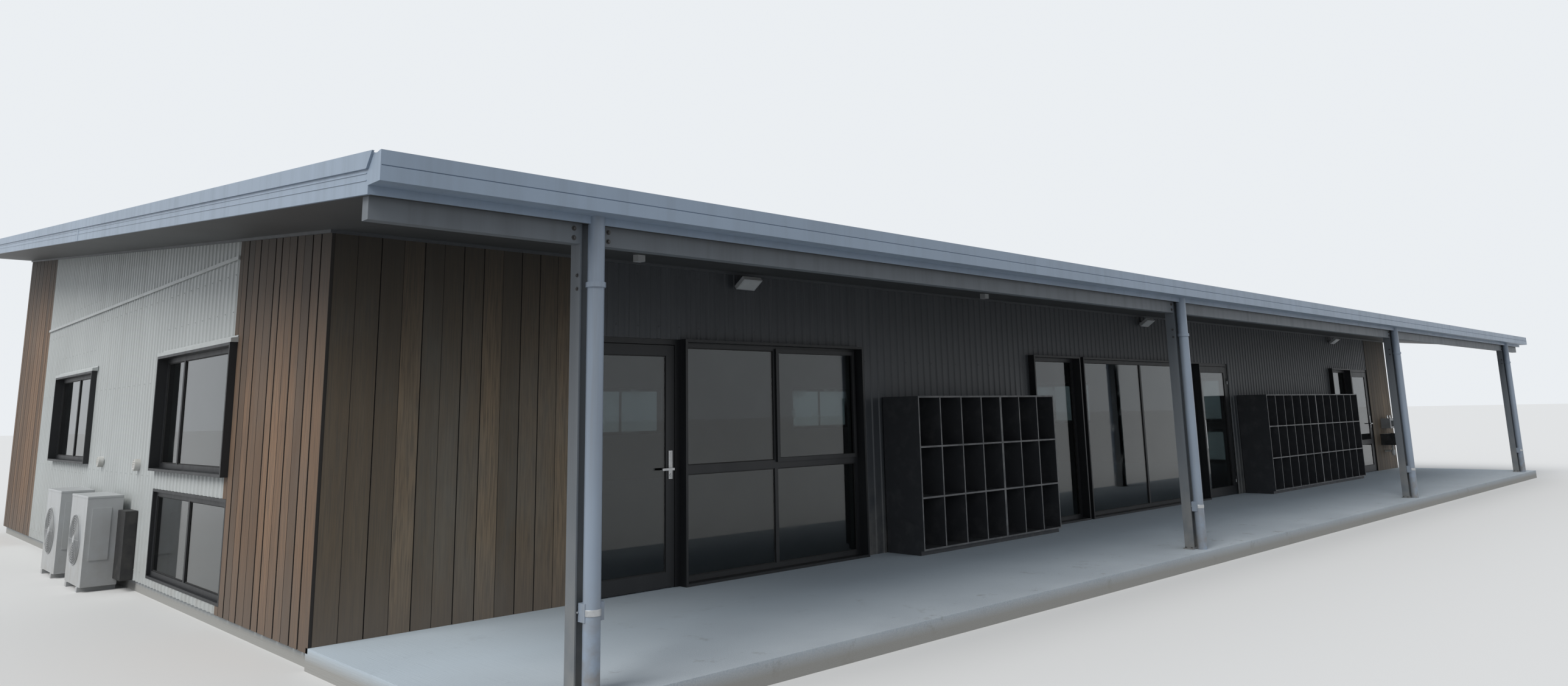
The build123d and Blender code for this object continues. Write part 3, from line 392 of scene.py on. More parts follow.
colour = mixed(tree, silver, colour, (0.20, 0.175, 0.15))
# Painted light: faces towards the front get a cool tint standing in for sky light in the veranda's
# shade.
facing = add(tree, "ShaderNodeTexCoord").outputs["Normal"]
facing = add(tree, "ShaderNodeSeparateXYZ", {"Vector": facing}).outputs["Y"]
painted_sky_tint = spread(tree, facing, -0.5, -0.9)
colour = mixed(tree, painted_sky_tint, colour, (1.0, 1.22, 1.33), "MULTIPLY")
# Painted shade: the boards darken close under the soffit, where the eaves shade them.
place = own_place(tree)
level = add(tree, "ShaderNodeMath", {0: place["Y"], 1: -TAN, 2: place["Z"]}, operation="MULTIPLY_ADD")
under_eaves = add(tree, "ShaderNodeMath", {0: level.outputs[0], 1: SOFFIT_FRONT - FRONT_Y * TAN},
                  operation="SUBTRACT").outputs[0]
painted_eave_shade = spread(tree, under_eaves, -1.30, -0.02, 0.0, 0.85)
colour = mixed(tree, painted_eave_shade, colour, (0.027, 0.024, 0.021))
splash = spread(tree, place["Z"], 0.12, 0.75, 0.55, 0.0)
colour = mixed(tree, splash, colour, (0.15, 0.125, 0.105))
# The sides of the boards are painted near black: dirt and painted shade in the joints.
joint_dirt_and_shade = spread(tree, tone, -0.6, -0.4, 1.0, 0.0)
colour = mixed(tree, joint_dirt_and_shade, colour, (0.014, 0.011, 0.009))
surface(tree, base_color=colour, roughness=0.74, normal=bumped(tree, grain, 0.0015, 0.7))
cedar_boards = finish_piece(cedar_parts, "cedar_boards", cedar)
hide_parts("cedar_cladding")


# Behind the cedar boards lies black building wrap on the battens, seen only through the joints.
# It comes off a roll and is stapled flat to the frame before the boards go on.
WRAP_FACE = -0.026
WRAP_BACK = -0.039


def wrap_sheet(wall, start, end, low):
    """A thin sheet behind the boards of a wall, cut to the soffit."""
    left, right = sorted((start * runs_back[wall], end * runs_back[wall]))
    sheet = box_at((left, low, WRAP_BACK), (right, low + 1.0, WRAP_FACE))
    for v in sheet.data.vertices:
        if v.co.y > low + 0.5:
            v.co.y = top_at(wall, v.co.x * runs_back[wall]) - 0.003
    return stood_up(sheet, wall)


wrap_runs = (
    ("near", 0.026, CEDAR_END), ("near", DEPTH - CEDAR_REAR, DEPTH - 0.026),
    ("far", 0.026, CEDAR_END), ("far", DEPTH - CEDAR_REAR, DEPTH - 0.026),
    ("front", 0.040, CEDAR_FRONT - 0.01), ("front", LENGTH - CEDAR_FAR + 0.01, LENGTH - 0.040),
    ("rear", 0.040, CEDAR_FRONT), ("rear", LENGTH - CEDAR_FRONT, LENGTH - 0.040),
)
wrap_parts = []
for wall, start, end in wrap_runs:
    wrap_parts.append(wrap_sheet(wall, start, end, SLAB_TOP if wall == "front" else LOW + 0.01))
wrap, tree = shader_tree("building wrap")
fibre = pattern(tree, 300.0, 2.0)
surface(tree, base_color=mixed(tree, fibre, (0.010, 0.010, 0.010), (0.022, 0.020, 0.018)),
        roughness=0.95)
finish_piece(wrap_parts, "wall_wrap", wrap)


# Between the corners the walls wear ribbed steel sheets: dark along the veranda, pale on the ends
# and rear. Rolled with narrow trapezoid ribs, cut round the windows and screwed through the
# valleys; the flashings over the windows and across the ends are folded from the pale sheet.
RIB_PITCH = 0.1175
RIB_DEPTH = 0.010
SHEET_T = 0.003
rib_line = ((0.0, 0.0), (0.030, 0.0), (0.042, -RIB_DEPTH), (0.1055, -RIB_DEPTH), (RIB_PITCH, 0.0))


def repeated(piece, count, step, weld=False):
    """Repeats the active piece at an even step; weld closes the seams between the copies."""
    rows = piece.modifiers.new("rows", "ARRAY")
    rows.count = count
    rows.use_relative_offset = False
    rows.use_constant_offset = True
    rows.constant_offset_displace = step
    rows.use_merge_vertices = weld
    rows.merge_threshold = 0.0005
    bpy.ops.object.modifier_apply(modifier="rows")
    return piece


def ribbed_sheet(wall, start, end, low, high=None):
    """Ribbed sheet over one rectangle of wall; with no top it is cut to the soffit."""
    left, right = sorted((start * runs_back[wall], end * runs_back[wall]))
    tall = max(top_at(wall, start), top_at(wall, end)) + 0.1 if high is None else high
    first = math.floor(left / RIB_PITCH) * RIB_PITCH
    count = math.ceil((right - first) / RIB_PITCH) + 1
    deselect()
    bpy.ops.mesh.primitive_grid_add(x_subdivisions=4, y_subdivisions=1, size=1.0)
    sheet = bpy.context.object
    columns = sorted({round(v.co.x, 4) for v in sheet.data.vertices})
    for v in sheet.data.vertices:
        across, out = rib_line[columns.index(round(v.co.x, 4))]
        v.co = (first + across, low if v.co.y < 0.0 else tall, out)
    repeated(sheet, count, (RIB_PITCH, 0.0, 0.0), weld=True)
    bpy.ops.object.mode_set(mode="EDIT")
    cuts = [((left, 0, 0), (-1, 0, 0)), ((right, 0, 0), (1, 0, 0))]
    if high is None:
        slope = runs_back[wall] * TAN if wall in ("near", "far") else 0.0
        cuts.append(((0.0, top_at(wall, 0.0) - 0.003, 0.0), (-slope, 1.0, 0.0)))
    for point, normal in cuts:
        bpy.ops.mesh.select_all(action="SELECT")
        bpy.ops.mesh.bisect(plane_co=point, plane_no=normal, clear_outer=True)
    bpy.ops.object.mode_set(mode="OBJECT")
    shell = sheet.modifiers.new("thickness", "SOLIDIFY")
    shell.thickness = SHEET_T
    shell.offset = -1.0
    bpy.ops.object.modifier_apply(modifier="thickness")
    return stood_up(sheet, wall)


NEAR_WINDOW = (3.200, 5.660)
ENTRANCE = (9.030, 15.250)
FAR_WINDOW = (20.210, 21.320)
FAR_DOOR = (21.530, 22.640)
END_WINDOW = (2.040, 4.440)
END_WINDOW_FAR = (7.610, 10.010)
SHEET_START = 2.140  # past the narrow cedar board by the first end window
WINDOW_TOP = HEAD + 0.060  # over the head flashing of an end or rear window
WINDOW_FOOT = SILL - 0.001
REAR_STEP = 7.025
REAR_HALF = 1.200
rear_middles = [LENGTH / 2 + index * REAR_STEP for index in (-1, 0, 1)]
rear_windows = [(middle - REAR_HALF, middle + REAR_HALF) for middle in rear_middles]

dark_parts = [
    ribbed_sheet("front", CEDAR_FRONT, NEAR_WINDOW[1], HEAD),
    ribbed_sheet("front", NEAR_WINDOW[1], ENTRANCE[0], SLAB_TOP),
    ribbed_sheet("front", ENTRANCE[0], ENTRANCE[1], HEAD),
    ribbed_sheet("front", ENTRANCE[1], FAR_WINDOW[0], SLAB_TOP),
    ribbed_sheet("front", FAR_WINDOW[0], FAR_WINDOW[1], SLAB_TOP, SILL),
    ribbed_sheet("front", FAR_WINDOW[0], FAR_WINDOW[1], HEAD),
    ribbed_sheet("front", FAR_WINDOW[1], FAR_DOOR[0], SLAB_TOP),
    ribbed_sheet("front", FAR_DOOR[0], FAR_DOOR[1], HEAD),
]
pale_parts = []
for wall in ("near", "far"):
    pale_parts += [
        ribbed_sheet(wall, END_WINDOW[1], END_WINDOW_FAR[0], LOW),
        ribbed_sheet(wall, END_WINDOW_FAR[1], DEPTH - CEDAR_REAR, LOW),
        ribbed_sheet(wall, SHEET_START, END_WINDOW[1], LOW, LOW_LIGHT[0]),
        ribbed_sheet(wall, SHEET_START, END_WINDOW[1], LOW_LIGHT[1], WINDOW_FOOT),
        ribbed_sheet(wall, SHEET_START, END_WINDOW[1], WINDOW_TOP),
        ribbed_sheet(wall, END_WINDOW_FAR[0], END_WINDOW_FAR[1], LOW, WINDOW_FOOT),
        ribbed_sheet(wall, END_WINDOW_FAR[0], END_WINDOW_FAR[1], WINDOW_TOP),
    ]
edges = [CEDAR_FRONT] + [edge for window in rear_windows for edge in window] + [LENGTH - CEDAR_FRONT]
rear_lengths = list(zip(edges[::2], edges[1::2]))
for start, end in rear_lengths:
    pale_parts.append(ribbed_sheet("rear", start, end, LOW))
for start, end in rear_windows:
    pale_parts.append(ribbed_sheet("rear", start, end, LOW, WINDOW_FOOT))
    pale_parts.append(ribbed_sheet("rear", start, end, WINDOW_TOP))


def painted_steel(name, colour, worn, rough, streaks=0.5, dust=0.0):
    """Satin paint on rolled steel: faint rain streaks, cloudy fading and dust towards the ground."""
    material, tree = shader_tree(name)
    streak = spread(tree, pattern(tree, 9.0, 5.0, 0.6, (1.0, 1.0, 0.05)), 0.46, 0.72, 0.0, streaks)
    faded = [part * 0.90 for part in colour]
    tint = mixed(tree, spread(tree, pattern(tree, 0.6), 0.35, 0.65), colour, faded)
    tint = mixed(tree, streak, tint, worn)
    if dust:
        low = spread(tree, own_place(tree)["Z"], 0.15, 1.1, dust, 0.0)
        broken = spread(tree, pattern(tree, 5.0, 6.0), 0.30, 0.65)
        dusty = add(tree, "ShaderNodeMath", {0: low, 1: broken}, operation="MULTIPLY").outputs[0]
        tint = mixed(tree, dusty, tint, (0.36, 0.34, 0.30))
    surface(tree, base_color=tint, roughness=spread(tree, streak, 0.0, 1.0, rough, rough + 0.18),
            normal=bumped(tree, pattern(tree, 380.0, 2.0), 0.0003, 0.5))
    return material


dark_steel = painted_steel("dark ribbed steel", (0.060, 0.066, 0.074), (0.096, 0.102, 0.110),
                           0.46, 0.5, 0.35)
pale_steel = painted_steel("pale ribbed steel", (0.560, 0.590, 0.585), (0.460, 0.475, 0.465),
                           0.44, 0.5, 0.30)
dark_ribs = finish_piece(dark_parts, "dark_ribbed_steel", dark_steel)
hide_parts("dark_cladding")
pale_ribs = finish_piece(pale_parts, "pale_ribbed_steel", pale_steel)
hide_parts("pale_cladding")
dress(pale_steel, "wall_flashings")


# Folded steel covers the edges of the roof: barges and their caps, rear fascia and box gutter.
# All come from one coil, painted pale blue-grey; a barge has two rolled lines and a joint strip.
trim_steel = painted_steel("pale trim steel", (0.328, 0.410, 0.515), (0.268, 0.325, 0.395),
                           0.40, 0.55)
dress(trim_steel, "barges", "rear_fascia", "front_gutter")


def sloping_strip(x0, x1, y0, y1, low, high):
    """A strip along the roof slope: y from the front wall face, low and high above the soffit."""
    strip = box_at((x0, y0 + FRONT_Y, low), (x1, y1 + FRONT_Y, high))
    for v in strip.data.vertices:
        v.co.z += soffit(v.co.y - FRONT_Y)
    return strip


BARGE_OUT = 0.738  # barge face out from an end wall
JOINT_STRIP = (5.10, 5.16)
DECK_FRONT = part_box("roof_deck")[0].y - FRONT_Y
edge_parts = []
for face, out in ((NEAR_X - BARGE_OUT, -1.0), (FAR_X + BARGE_OUT, 1.0)):
    left, right = sorted((face - out * 0.002, face + out * 0.0035))
    for low in (0.069, 0.106):
        line = sloping_strip(left, right, DECK_FRONT + 0.015, DEPTH + 0.05, low, low + 0.005)
        bevel_edges(line, 0.0012, lambda a, b: (a - b).length > 0.3)
        edge_parts.append(line)
    left, right = sorted((face - out * 0.002, face + out * 0.0025))
    edge_parts.append(sloping_strip(left, right, *JOINT_STRIP, 0.002, 0.128))
finish_piece(edge_parts, "barge_swages", trim_steel)


# The roof is long ribbed steel sheet, screwed through the ribs into the purlins with a washer under
# each head. The deck below it is pine framing, hidden between soffit and sheet.
roof_steel = painted_steel("roof sheet steel", (0.470, 0.500, 0.520), (0.350, 0.365, 0.375),
                           0.38, 0.7)
dress(roof_steel, "roof_sheet")
frame_timber, tree = shader_tree("pine framing")
rings = pattern(tree, 22.0, 5.0, 0.6, (0.08, 1.0, 1.0))
bands = spread(tree, rings, 0.35, 0.65)
surface(tree, base_color=mixed(tree, bands, (0.52, 0.36, 0.20), (0.66, 0.49, 0.30)),
        roughness=0.70, normal=bumped(tree, rings, 0.001, 0.5))
dress(frame_timber, "roof_deck")


def turned(rings, sides, place=None):
    """A round solid built up ring by ring along +Z: each ring is (radius, height)."""
    deselect()
    bpy.ops.mesh.primitive_circle_add(vertices=sides, radius=rings[0][0], fill_type="NGON",
                                      location=(0.0, 0.0, rings[0][1]))
    piece = bpy.context.object
    bpy.ops.object.transform_apply(location=True, rotation=True, scale=True)
    bpy.ops.object.mode_set(mode="EDIT")
    bpy.ops.mesh.select_all(action="SELECT")
    for (r0, z0), (r1, z1) in zip(rings, rings[1:]):
        bpy.ops.mesh.extrude_region_move(TRANSFORM_OT_translate={"value": (0.0, 0.0, z1 - z0)})
        if r1 != r0:
            wider = r1 / r0
            bpy.ops.transform.resize(value=(wider, wider, 1.0), center_override=(0.0, 0.0, z1))
    bpy.ops.mesh.select_all(action="SELECT")
    bpy.ops.mesh.normals_make_consistent(inside=False)
    bpy.ops.object.mode_set(mode="OBJECT")
    if place:
        piece.data.transform(place)
    return piece


def screw_head(size, place):
    """A hexagon screw head on its washer, looking along +Z, its foot at place."""
    washer = turned(((size * 1.6, 0.0), (size * 1.5, size * 0.3)), 8)
    head = turned(((size, size * 0.3), (size, size), (size * 0.8, size * 1.2)), 6)
    screw = joined([washer, head])
    screw.data.transform(place)
    return screw


ROOF_RIB_STEP = 0.400
ROOF_RIB_TOP = 0.0375  # above the underside of the sheet
PURLIN_STEP = 1.220
PURLINS = 14
FIRST_PURLIN = 0.160  # from the low edge of the sheet
sheet_low, sheet_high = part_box("roof_sheet")
rib_count = int((sheet_high.x - sheet_low.x) / ROOF_RIB_STEP)
first_rib = (sheet_low.x + sheet_high.x) / 2 - (rib_count - 1) * ROOF_RIB_STEP / 2
rib_top = sheet_low.z + FIRST_PURLIN * TAN + ROOF_RIB_TOP
on_roof = Matrix.Translation((first_rib, sheet_low.y + FIRST_PURLIN, rib_top))
screw = screw_head(0.007, on_roof @ Matrix.Rotation(math.atan(TAN), 4, "X"))
screws = repeated(screw, rib_count, (ROOF_RIB_STEP, 0.0, 0.0))
screws = repeated(screws, PURLINS, (0.0, PURLIN_STEP, PURLIN_STEP * TAN))
zinc, tree = shader_tree("zinc plated screws")
surface(tree, base_color=mixed(tree, pattern(tree, 60.0), (0.40, 0.41, 0.42), (0.55, 0.56, 0.57)),
        metallic=0.85, roughness=spread(tree, pattern(tree, 35.0), 0.3, 0.7, 0.35, 0.55))
finish_piece([screws], "roof_screws", zinc)


# Under the eaves the soffit is sheet fixed in lengths with a narrow joint, its near-black colour
# painted shade. It is the same all the way round the roof; a folded trim closes it against the walls.
shaded_soffit_sheet, tree = shader_tree("soffit sheet with painted shade")
SOFFIT_SHEET = 2.400  # length of one sheet
along = add(tree, "ShaderNodeMath", {0: own_place(tree)["X"], 1: SOFFIT_SHEET / 2},
            operation="PINGPONG").outputs[0]
cloud = spread(tree, pattern(tree, 0.8, 4.0), 0.35, 0.65)
# The sheet's near-black colour is painted shade of the eaves.
colour = mixed(tree, cloud, (0.036, 0.039, 0.041), (0.050, 0.053, 0.055))
specks = spread(tree, pattern(tree, 30.0, 3.0), 0.62, 0.72)
colour = mixed(tree, specks, colour, (0.030, 0.030, 0.030))
joint = spread(tree, along, 0.004, 0.007, 1.0, 0.0)
surface(tree, base_color=mixed(tree, joint, colour, (0.025, 0.025, 0.025)), roughness=0.55,
        normal=bumped(tree, spread(tree, along, 0.0, 0.008), 0.003, 0.7))
dress(shaded_soffit_sheet, "soffit_lining")
# The soffit trim's dark grey is painted shade of the eaves.
shaded_soffit_trim = painted_steel("soffit trim with painted shade", (0.085, 0.092, 0.100), (0.065, 0.070, 0.075),
                          0.45, 0.4)
dress(shaded_soffit_trim, "soffit_trim")


# The veranda stands on four painted steel posts of H section with a channel beam between them.
# Base plates are bolted to the slab, the beam to the posts; the paint is chalky, rubbed at the foot.
frame_steel = painted_steel("veranda frame paint", (0.165, 0.185, 0.205), (0.125, 0.135, 0.147),
                            0.50, 0.6, 0.5)
dress(frame_steel, "veranda_posts", "veranda_beam")
POST_FIRST = 0.547  # near end wall to the first post
POST_LAST = 0.493  # last post to the far end wall
POST_DEPTH = 0.150  # along the front
POST_WIDTH = 0.100
POST_PITCH = (LENGTH - POST_FIRST - POST_LAST - POST_DEPTH) / 3
POST_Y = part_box("veranda_posts")[0].y
BEAM_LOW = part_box("veranda_beam")[0].z
PLATE_TOP = SLAB_TOP + 0.012
post_places = [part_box("veranda_posts")[0].x + index * POST_PITCH for index in range(4)]
to_front = Matrix.Rotation(math.radians(90), 4, "X")
to_near = Matrix.Rotation(math.radians(-90), 4, "Y")
plate_parts = []
bolt_parts = []
for x in post_places:
    end = x + POST_DEPTH
    back = POST_Y + POST_WIDTH
    plate = box_at((x - 0.035, POST_Y - 0.004, SLAB_TOP), (end + 0.035, back + 0.004, PLATE_TOP))
    bevel_edges(plate, 0.003, lambda a, b: min(a.z, b.z) > PLATE_TOP - 0.001)
    plate_parts.append(plate)
    for side in (x - 0.018, end + 0.018):
        for depth in (POST_Y + 0.018, back - 0.018):
            bolt_parts.append(screw_head(0.009, Matrix.Translation((side, depth, PLATE_TOP))))
    for side in (x - 0.045, end + 0.045):
        for up in (BEAM_LOW + 0.032, BEAM_LOW + 0.088):
            bolt_parts.append(screw_head(0.010, Matrix.Translation((side, POST_Y, up)) @ to_front))
    for up in (2.395, 2.475):
        bolt_parts.append(screw_head(0.008, Matrix.Translation((x, POST_Y + 0.028, up)) @ to_near))
finish_piece(plate_parts, "post_base_plates", frame_steel)
dark_bolts, tree = shader_tree("weathered bolts")
rust = pattern(tree, 90.0)
surface(tree, base_color=mixed(tree, rust, (0.045, 0.045, 0.048), (0.11, 0.105, 0.10)),
        metallic=0.6, roughness=spread(tree, pattern(tree, 50.0), 0.3, 0.7, 0.45, 0.7))
finish_piece(bolt_parts, "frame_bolts", dark_bolts)


# A plastic downpipe runs up the front of each post into the gutter, held by a strap with two screws.
# The pipes are extruded, pale grey, a little scuffed at hand height and grubby at the foot.
pipe_plastic, tree = shader_tree("downpipe plastic")
cloud = spread(tree, pattern(tree, 1.1), 0.35, 0.65)
colour = mixed(tree, cloud, (0.310, 0.375, 0.462), (0.280, 0.335, 0.410))
rain = spread(tree, pattern(tree, 16.0, 5.0, 0.6, (1.0, 1.0, 0.04)), 0.50, 0.74, 0.0, 0.6)
colour = mixed(tree, rain, colour, (0.24, 0.26, 0.28))
low = spread(tree, own_place(tree)["Z"], 0.15, 0.80, 0.9, 0.0)
broken = spread(tree, pattern(tree, 9.0, 6.0), 0.35, 0.62)
grubby = add(tree, "ShaderNodeMath", {0: low, 1: broken}, operation="MULTIPLY").outputs[0]
colour = mixed(tree, grubby, colour, (0.24, 0.225, 0.20))
surface(tree, base_color=colour, roughness=spread(tree, rain, 0.0, 0.6, 0.34, 0.55),
        normal=bumped(tree, pattern(tree, 120.0, 2.0), 0.0004, 0.5))
dress(pipe_plastic, "downpipes")
PIPE_R = 0.050
STRAP_Z = 0.590
pipe_y = POST_Y - 0.004 - PIPE_R
strap_line = ((PIPE_R - 0.003, -0.018), (PIPE_R + 0.0025, -0.018), (PIPE_R + 0.0035, -0.015),
              (PIPE_R + 0.0035, 0.015), (PIPE_R + 0.0025, 0.018), (PIPE_R - 0.003, 0.018))
strap_parts = []
for x in post_places:
    middle = x + POST_DEPTH / 2
    strap_parts.append(turned(strap_line, 40, Matrix.Translation((middle, pipe_y, STRAP_Z))))
    for side in (middle - 0.061, middle + 0.061):
        place = Matrix.Translation((side, POST_Y - 0.004, STRAP_Z)) @ to_front
        strap_parts.append(screw_head(0.004, place))
finish_piece(strap_parts, "downpipe_straps", zinc)


# Windows and glazed doors are powder-coated aluminium: boards boxed round each opening, bars
# between the panes. Extruded lengths are cut square and screwed at the corners; the coating is near
# black, satin and fine-grained.
joinery = painted_steel("dark joinery coating", (0.010, 0.011, 0.013), (0.020, 0.022, 0.024), 0.46)
dress(joinery, "window_boxes", "window_bars", "entrance_posts", "door_jambs", "door_heads",
      "near_door_leaf", "entrance_door_leaf", "far_door_leaf")


# The panes are sealed double glass, faintly green, with rain marks and a slight wave in each sheet.
# Black rubber gaskets are pressed in round every pane on both sides to hold it in its frame.
glass, tree = shader_tree("window glass")
cloud = spread(tree, pattern(tree, 0.7), 0.35, 0.65)
surface(tree, base_color=mixed(tree, cloud, (0.15, 0.185, 0.195), (0.21, 0.25, 0.255)),
        roughness=spread(tree, pattern(tree, 5.0, 6.0, 0.65), 0.48, 0.75, 0.0, 0.10), ior=1.60,
        transmission_weight=1.0, normal=bumped(tree, pattern(tree, 1.3, 1.0), 0.0015, 0.15))
dress(glass, "window_glass", "near_door_glass", "entrance_door_glass", "far_door_glass")
rubber, tree = shader_tree("gasket rubber")
bloom = pattern(tree, 240.0, 2.0)
surface(tree, base_color=mixed(tree, bloom, (0.008, 0.008, 0.008), (0.018, 0.018, 0.018)),
        roughness=spread(tree, pattern(tree, 40.0), 0.3, 0.7, 0.62, 0.78))


def panes(name):
    """The corners of each pane in a node of glass."""
    deselect()
    sheet = bpy.data.objects.new("panes", nodes[name].data.copy())
    bpy.context.collection.objects.link(sheet)
    sheet.select_set(True)
    bpy.context.view_layer.objects.active = sheet
    bpy.ops.object.mode_set(mode="EDIT")
    bpy.ops.mesh.select_all(action="SELECT")
    bpy.ops.mesh.remove_doubles(threshold=0.0001)
    bpy.ops.mesh.separate(type="LOOSE")
    bpy.ops.object.mode_set(mode="OBJECT")
    corners = []
    for pane in list(bpy.context.selected_objects):
        points = [v.co for v in pane.data.vertices]
        low = [min(p[axis] for p in points) for axis in range(3)]
        high = [max(p[axis] for p in points) for axis in range(3)]
        corners.append((low, high))
        bpy.data.objects.remove(pane)
    return corners


def gasket(low, high):
    """A rubber ring round one pane, 3 mm proud of the glass on both sides."""
    thin = min(range(3), key=lambda axis: high[axis] - low[axis])
    proud = [0.003 if axis == thin else 0.0 for axis in range(3)]
    ring = box_at([a - out for a, out in zip(low, proud)], [b + out for b, out in zip(high, proud)])
    deselect()
    bpy.context.view_layer.objects.active = ring
    bpy.ops.object.mode_set(mode="EDIT")
    bpy.ops.mesh.select_mode(type="FACE")
    bpy.ops.mesh.select_all(action="DESELECT")
    bpy.ops.object.mode_set(mode="OBJECT")
    for face in ring.data.polygons:
        face.select = abs(face.normal[thin]) > 0.9
    bpy.ops.object.mode_set(mode="EDIT")
    bpy.ops.mesh.inset(thickness=0.009, use_individual=True)
    bpy.ops.mesh.bridge_edge_loops()
    bpy.ops.mesh.select_all(action="SELECT")
    bpy.ops.mesh.normals_make_consistent(inside=False)
    bpy.ops.object.mode_set(mode="OBJECT")
    return ring


gasket_bodies = {"window": "building", "near_door": "near_door", "entrance_door": "entrance_door",
                 "far_door": "far_door"}
for name, body in gasket_bodies.items():
    rings = [gasket(low, high) for low, high in panes(f"{name}_glass")]
    finish_piece(rings, f"{name}_gaskets", rubber, body)


# Lever handles on long plates fit the two side doors and a D pull the entrance; all hang on
# lift-off hinges. They are brushed stainless steel; a key cylinder sits in each lever plate, its
# slot a thin black insert that is painted shade of the keyway.
brushed, tree = shader_tree("brushed steel")
lines = pattern(tree, 420.0, 2.0, 0.5, (1.0, 1.0, 0.03))
surface(tree, base_color=mixed(tree, lines, (0.30, 0.305, 0.31), (0.46, 0.465, 0.47)),
        metallic=1.0, roughness=spread(tree, pattern(tree, 30.0), 0.3, 0.7, 0.24, 0.38),
        normal=bumped(tree, lines, 0.0002, 0.4))
dress(brushed, "door_hinges", "near_door_handle", "entrance_door_handle", "far_door_handle")
PLATE_FACE = FRONT_Y + 0.012
PLATE_MIDDLE = 1.2175
KEY_Z = 1.125
for body, latch in (("near_door", NEAR_X + 3.0945), ("far_door", NEAR_X + 22.5345)):
    place = Matrix.Translation((latch, PLATE_FACE, KEY_Z)) @ to_front
    lock_parts = [turned(((0.0115, -0.001), (0.0115, 0.003), (0.0100, 0.0045)), 24, place)]
    for up in (0.105, -0.080):
        place = Matrix.Translation((latch, PLATE_FACE, PLATE_MIDDLE + up)) @ to_front
        lock_parts.append(turned(((0.0050, -0.001), (0.0050, 0.0008), (0.0034, 0.0018)), 12, place))
    finish_piece(lock_parts, f"{body}_lock", brushed, body)
    # The key slot is a thin black insert: painted shade of the keyway.
    slot = box_at((latch - 0.0012, PLATE_FACE - 0.0050, KEY_Z - 0.0045),
                  (latch + 0.0012, PLATE_FACE - 0.0040, KEY_Z + 0.0045))
    bevel_edges(slot, 0.0003, lambda a, b: True, 1)
    finish_piece([slot], f"{body}_keyway_shade", rubber, body)


# Open pigeon-hole shelves for bags stand under the veranda, off the wall, on recessed kick boards.
# They are film-faced plywood, black on the faces, with the raw front edges rubbed to a dusty
# brown-grey.
shelf_board, tree = shader_tree("black film-faced board")
SHELF_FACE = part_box("shelf_dividers")[0].y
scuffs = spread(tree, pattern(tree, 5.0, 6.0, 0.65), 0.50, 0.72)
film = mixed(tree, scuffs, (0.046, 0.048, 0.053), (0.075, 0.077, 0.080))
rubbed = spread(tree, pattern(tree, 7.0, 6.0, 0.6), 0.38, 0.62)
raw = mixed(tree, rubbed, (0.095, 0.098, 0.102), (0.185, 0.186, 0.186))
edge = spread(tree, own_place(tree)["Y"], SHELF_FACE + 0.0004, SHELF_FACE + 0.0016, 1.0, 0.0)
surface(tree, base_color=mixed(tree, edge, film, raw),
        roughness=spread(tree, pattern(tree, 9.0, 5.0), 0.3, 0.7, 0.38, 0.60),
        normal=bumped(tree, pattern(tree, 300.0, 2.0), 0.0003, 0.4))
dress(shelf_board, "shelf_boards", "shelf_dividers", "shelf_backs")


# Slim tilted floodlights and small movement sensors hang under the veranda soffit on short brackets.
# Cast and painted pale grey, with cooling fins on the back and a prismatic lens screwed on the face.
lamp_paint = painted_steel("lamp paint", (0.560, 0.570, 0.575), (0.460, 0.465, 0.465), 0.42)
dress(lamp_paint, "floodlights")
lens_glass, tree = shader_tree("prismatic lens")
place = add(tree, "ShaderNodeTexCoord").outputs["Object"]
prisms = add(tree, "ShaderNodeTexVoronoi", {"Vector": place, "Scale": 160.0}).outputs["Distance"]
cloud = pattern(tree, 9.0)
surface(tree, base_color=mixed(tree, cloud, (0.62, 0.64, 0.64), (0.74, 0.75, 0.74)),
        roughness=0.16, normal=bumped(tree, prisms, 0.001, 0.6))
LAMP_OUT = 0.110
LAMP_Z = 2.920
LAMP_TILT = -35.0
FIN_STEP = 0.024
tilted = Matrix.Rotation(math.radians(LAMP_TILT), 4, "X")
lens_parts = []
fin_parts = []
for along in (3.965, 12.205, 20.445):
    place = Matrix.Translation((NEAR_X + along, FRONT_Y - LAMP_OUT, LAMP_Z)) @ tilted
    lens = box_at((-0.104, -0.061, -0.0225), (0.104, 0.061, -0.0190))
    bevel_edges(lens, 0.0015, lambda a, b: max(a.z, b.z) < -0.022)
    lens.data.transform(place)
    lens_parts.append(lens)
    for index in range(-4, 5):
        middle = index * FIN_STEP
        fin = box_at((middle - 0.0015, -0.055, 0.019), (middle + 0.0015, 0.055, 0.027))
        bevel_edges(fin, 0.0008, lambda a, b: min(a.z, b.z) > 0.026, 1)
        fin.data.transform(place)
        fin_parts.append(fin)
finish_piece(lens_parts, "lamp_lenses", lens_glass)
finish_piece(fin_parts, "lamp_fins", lamp_paint)


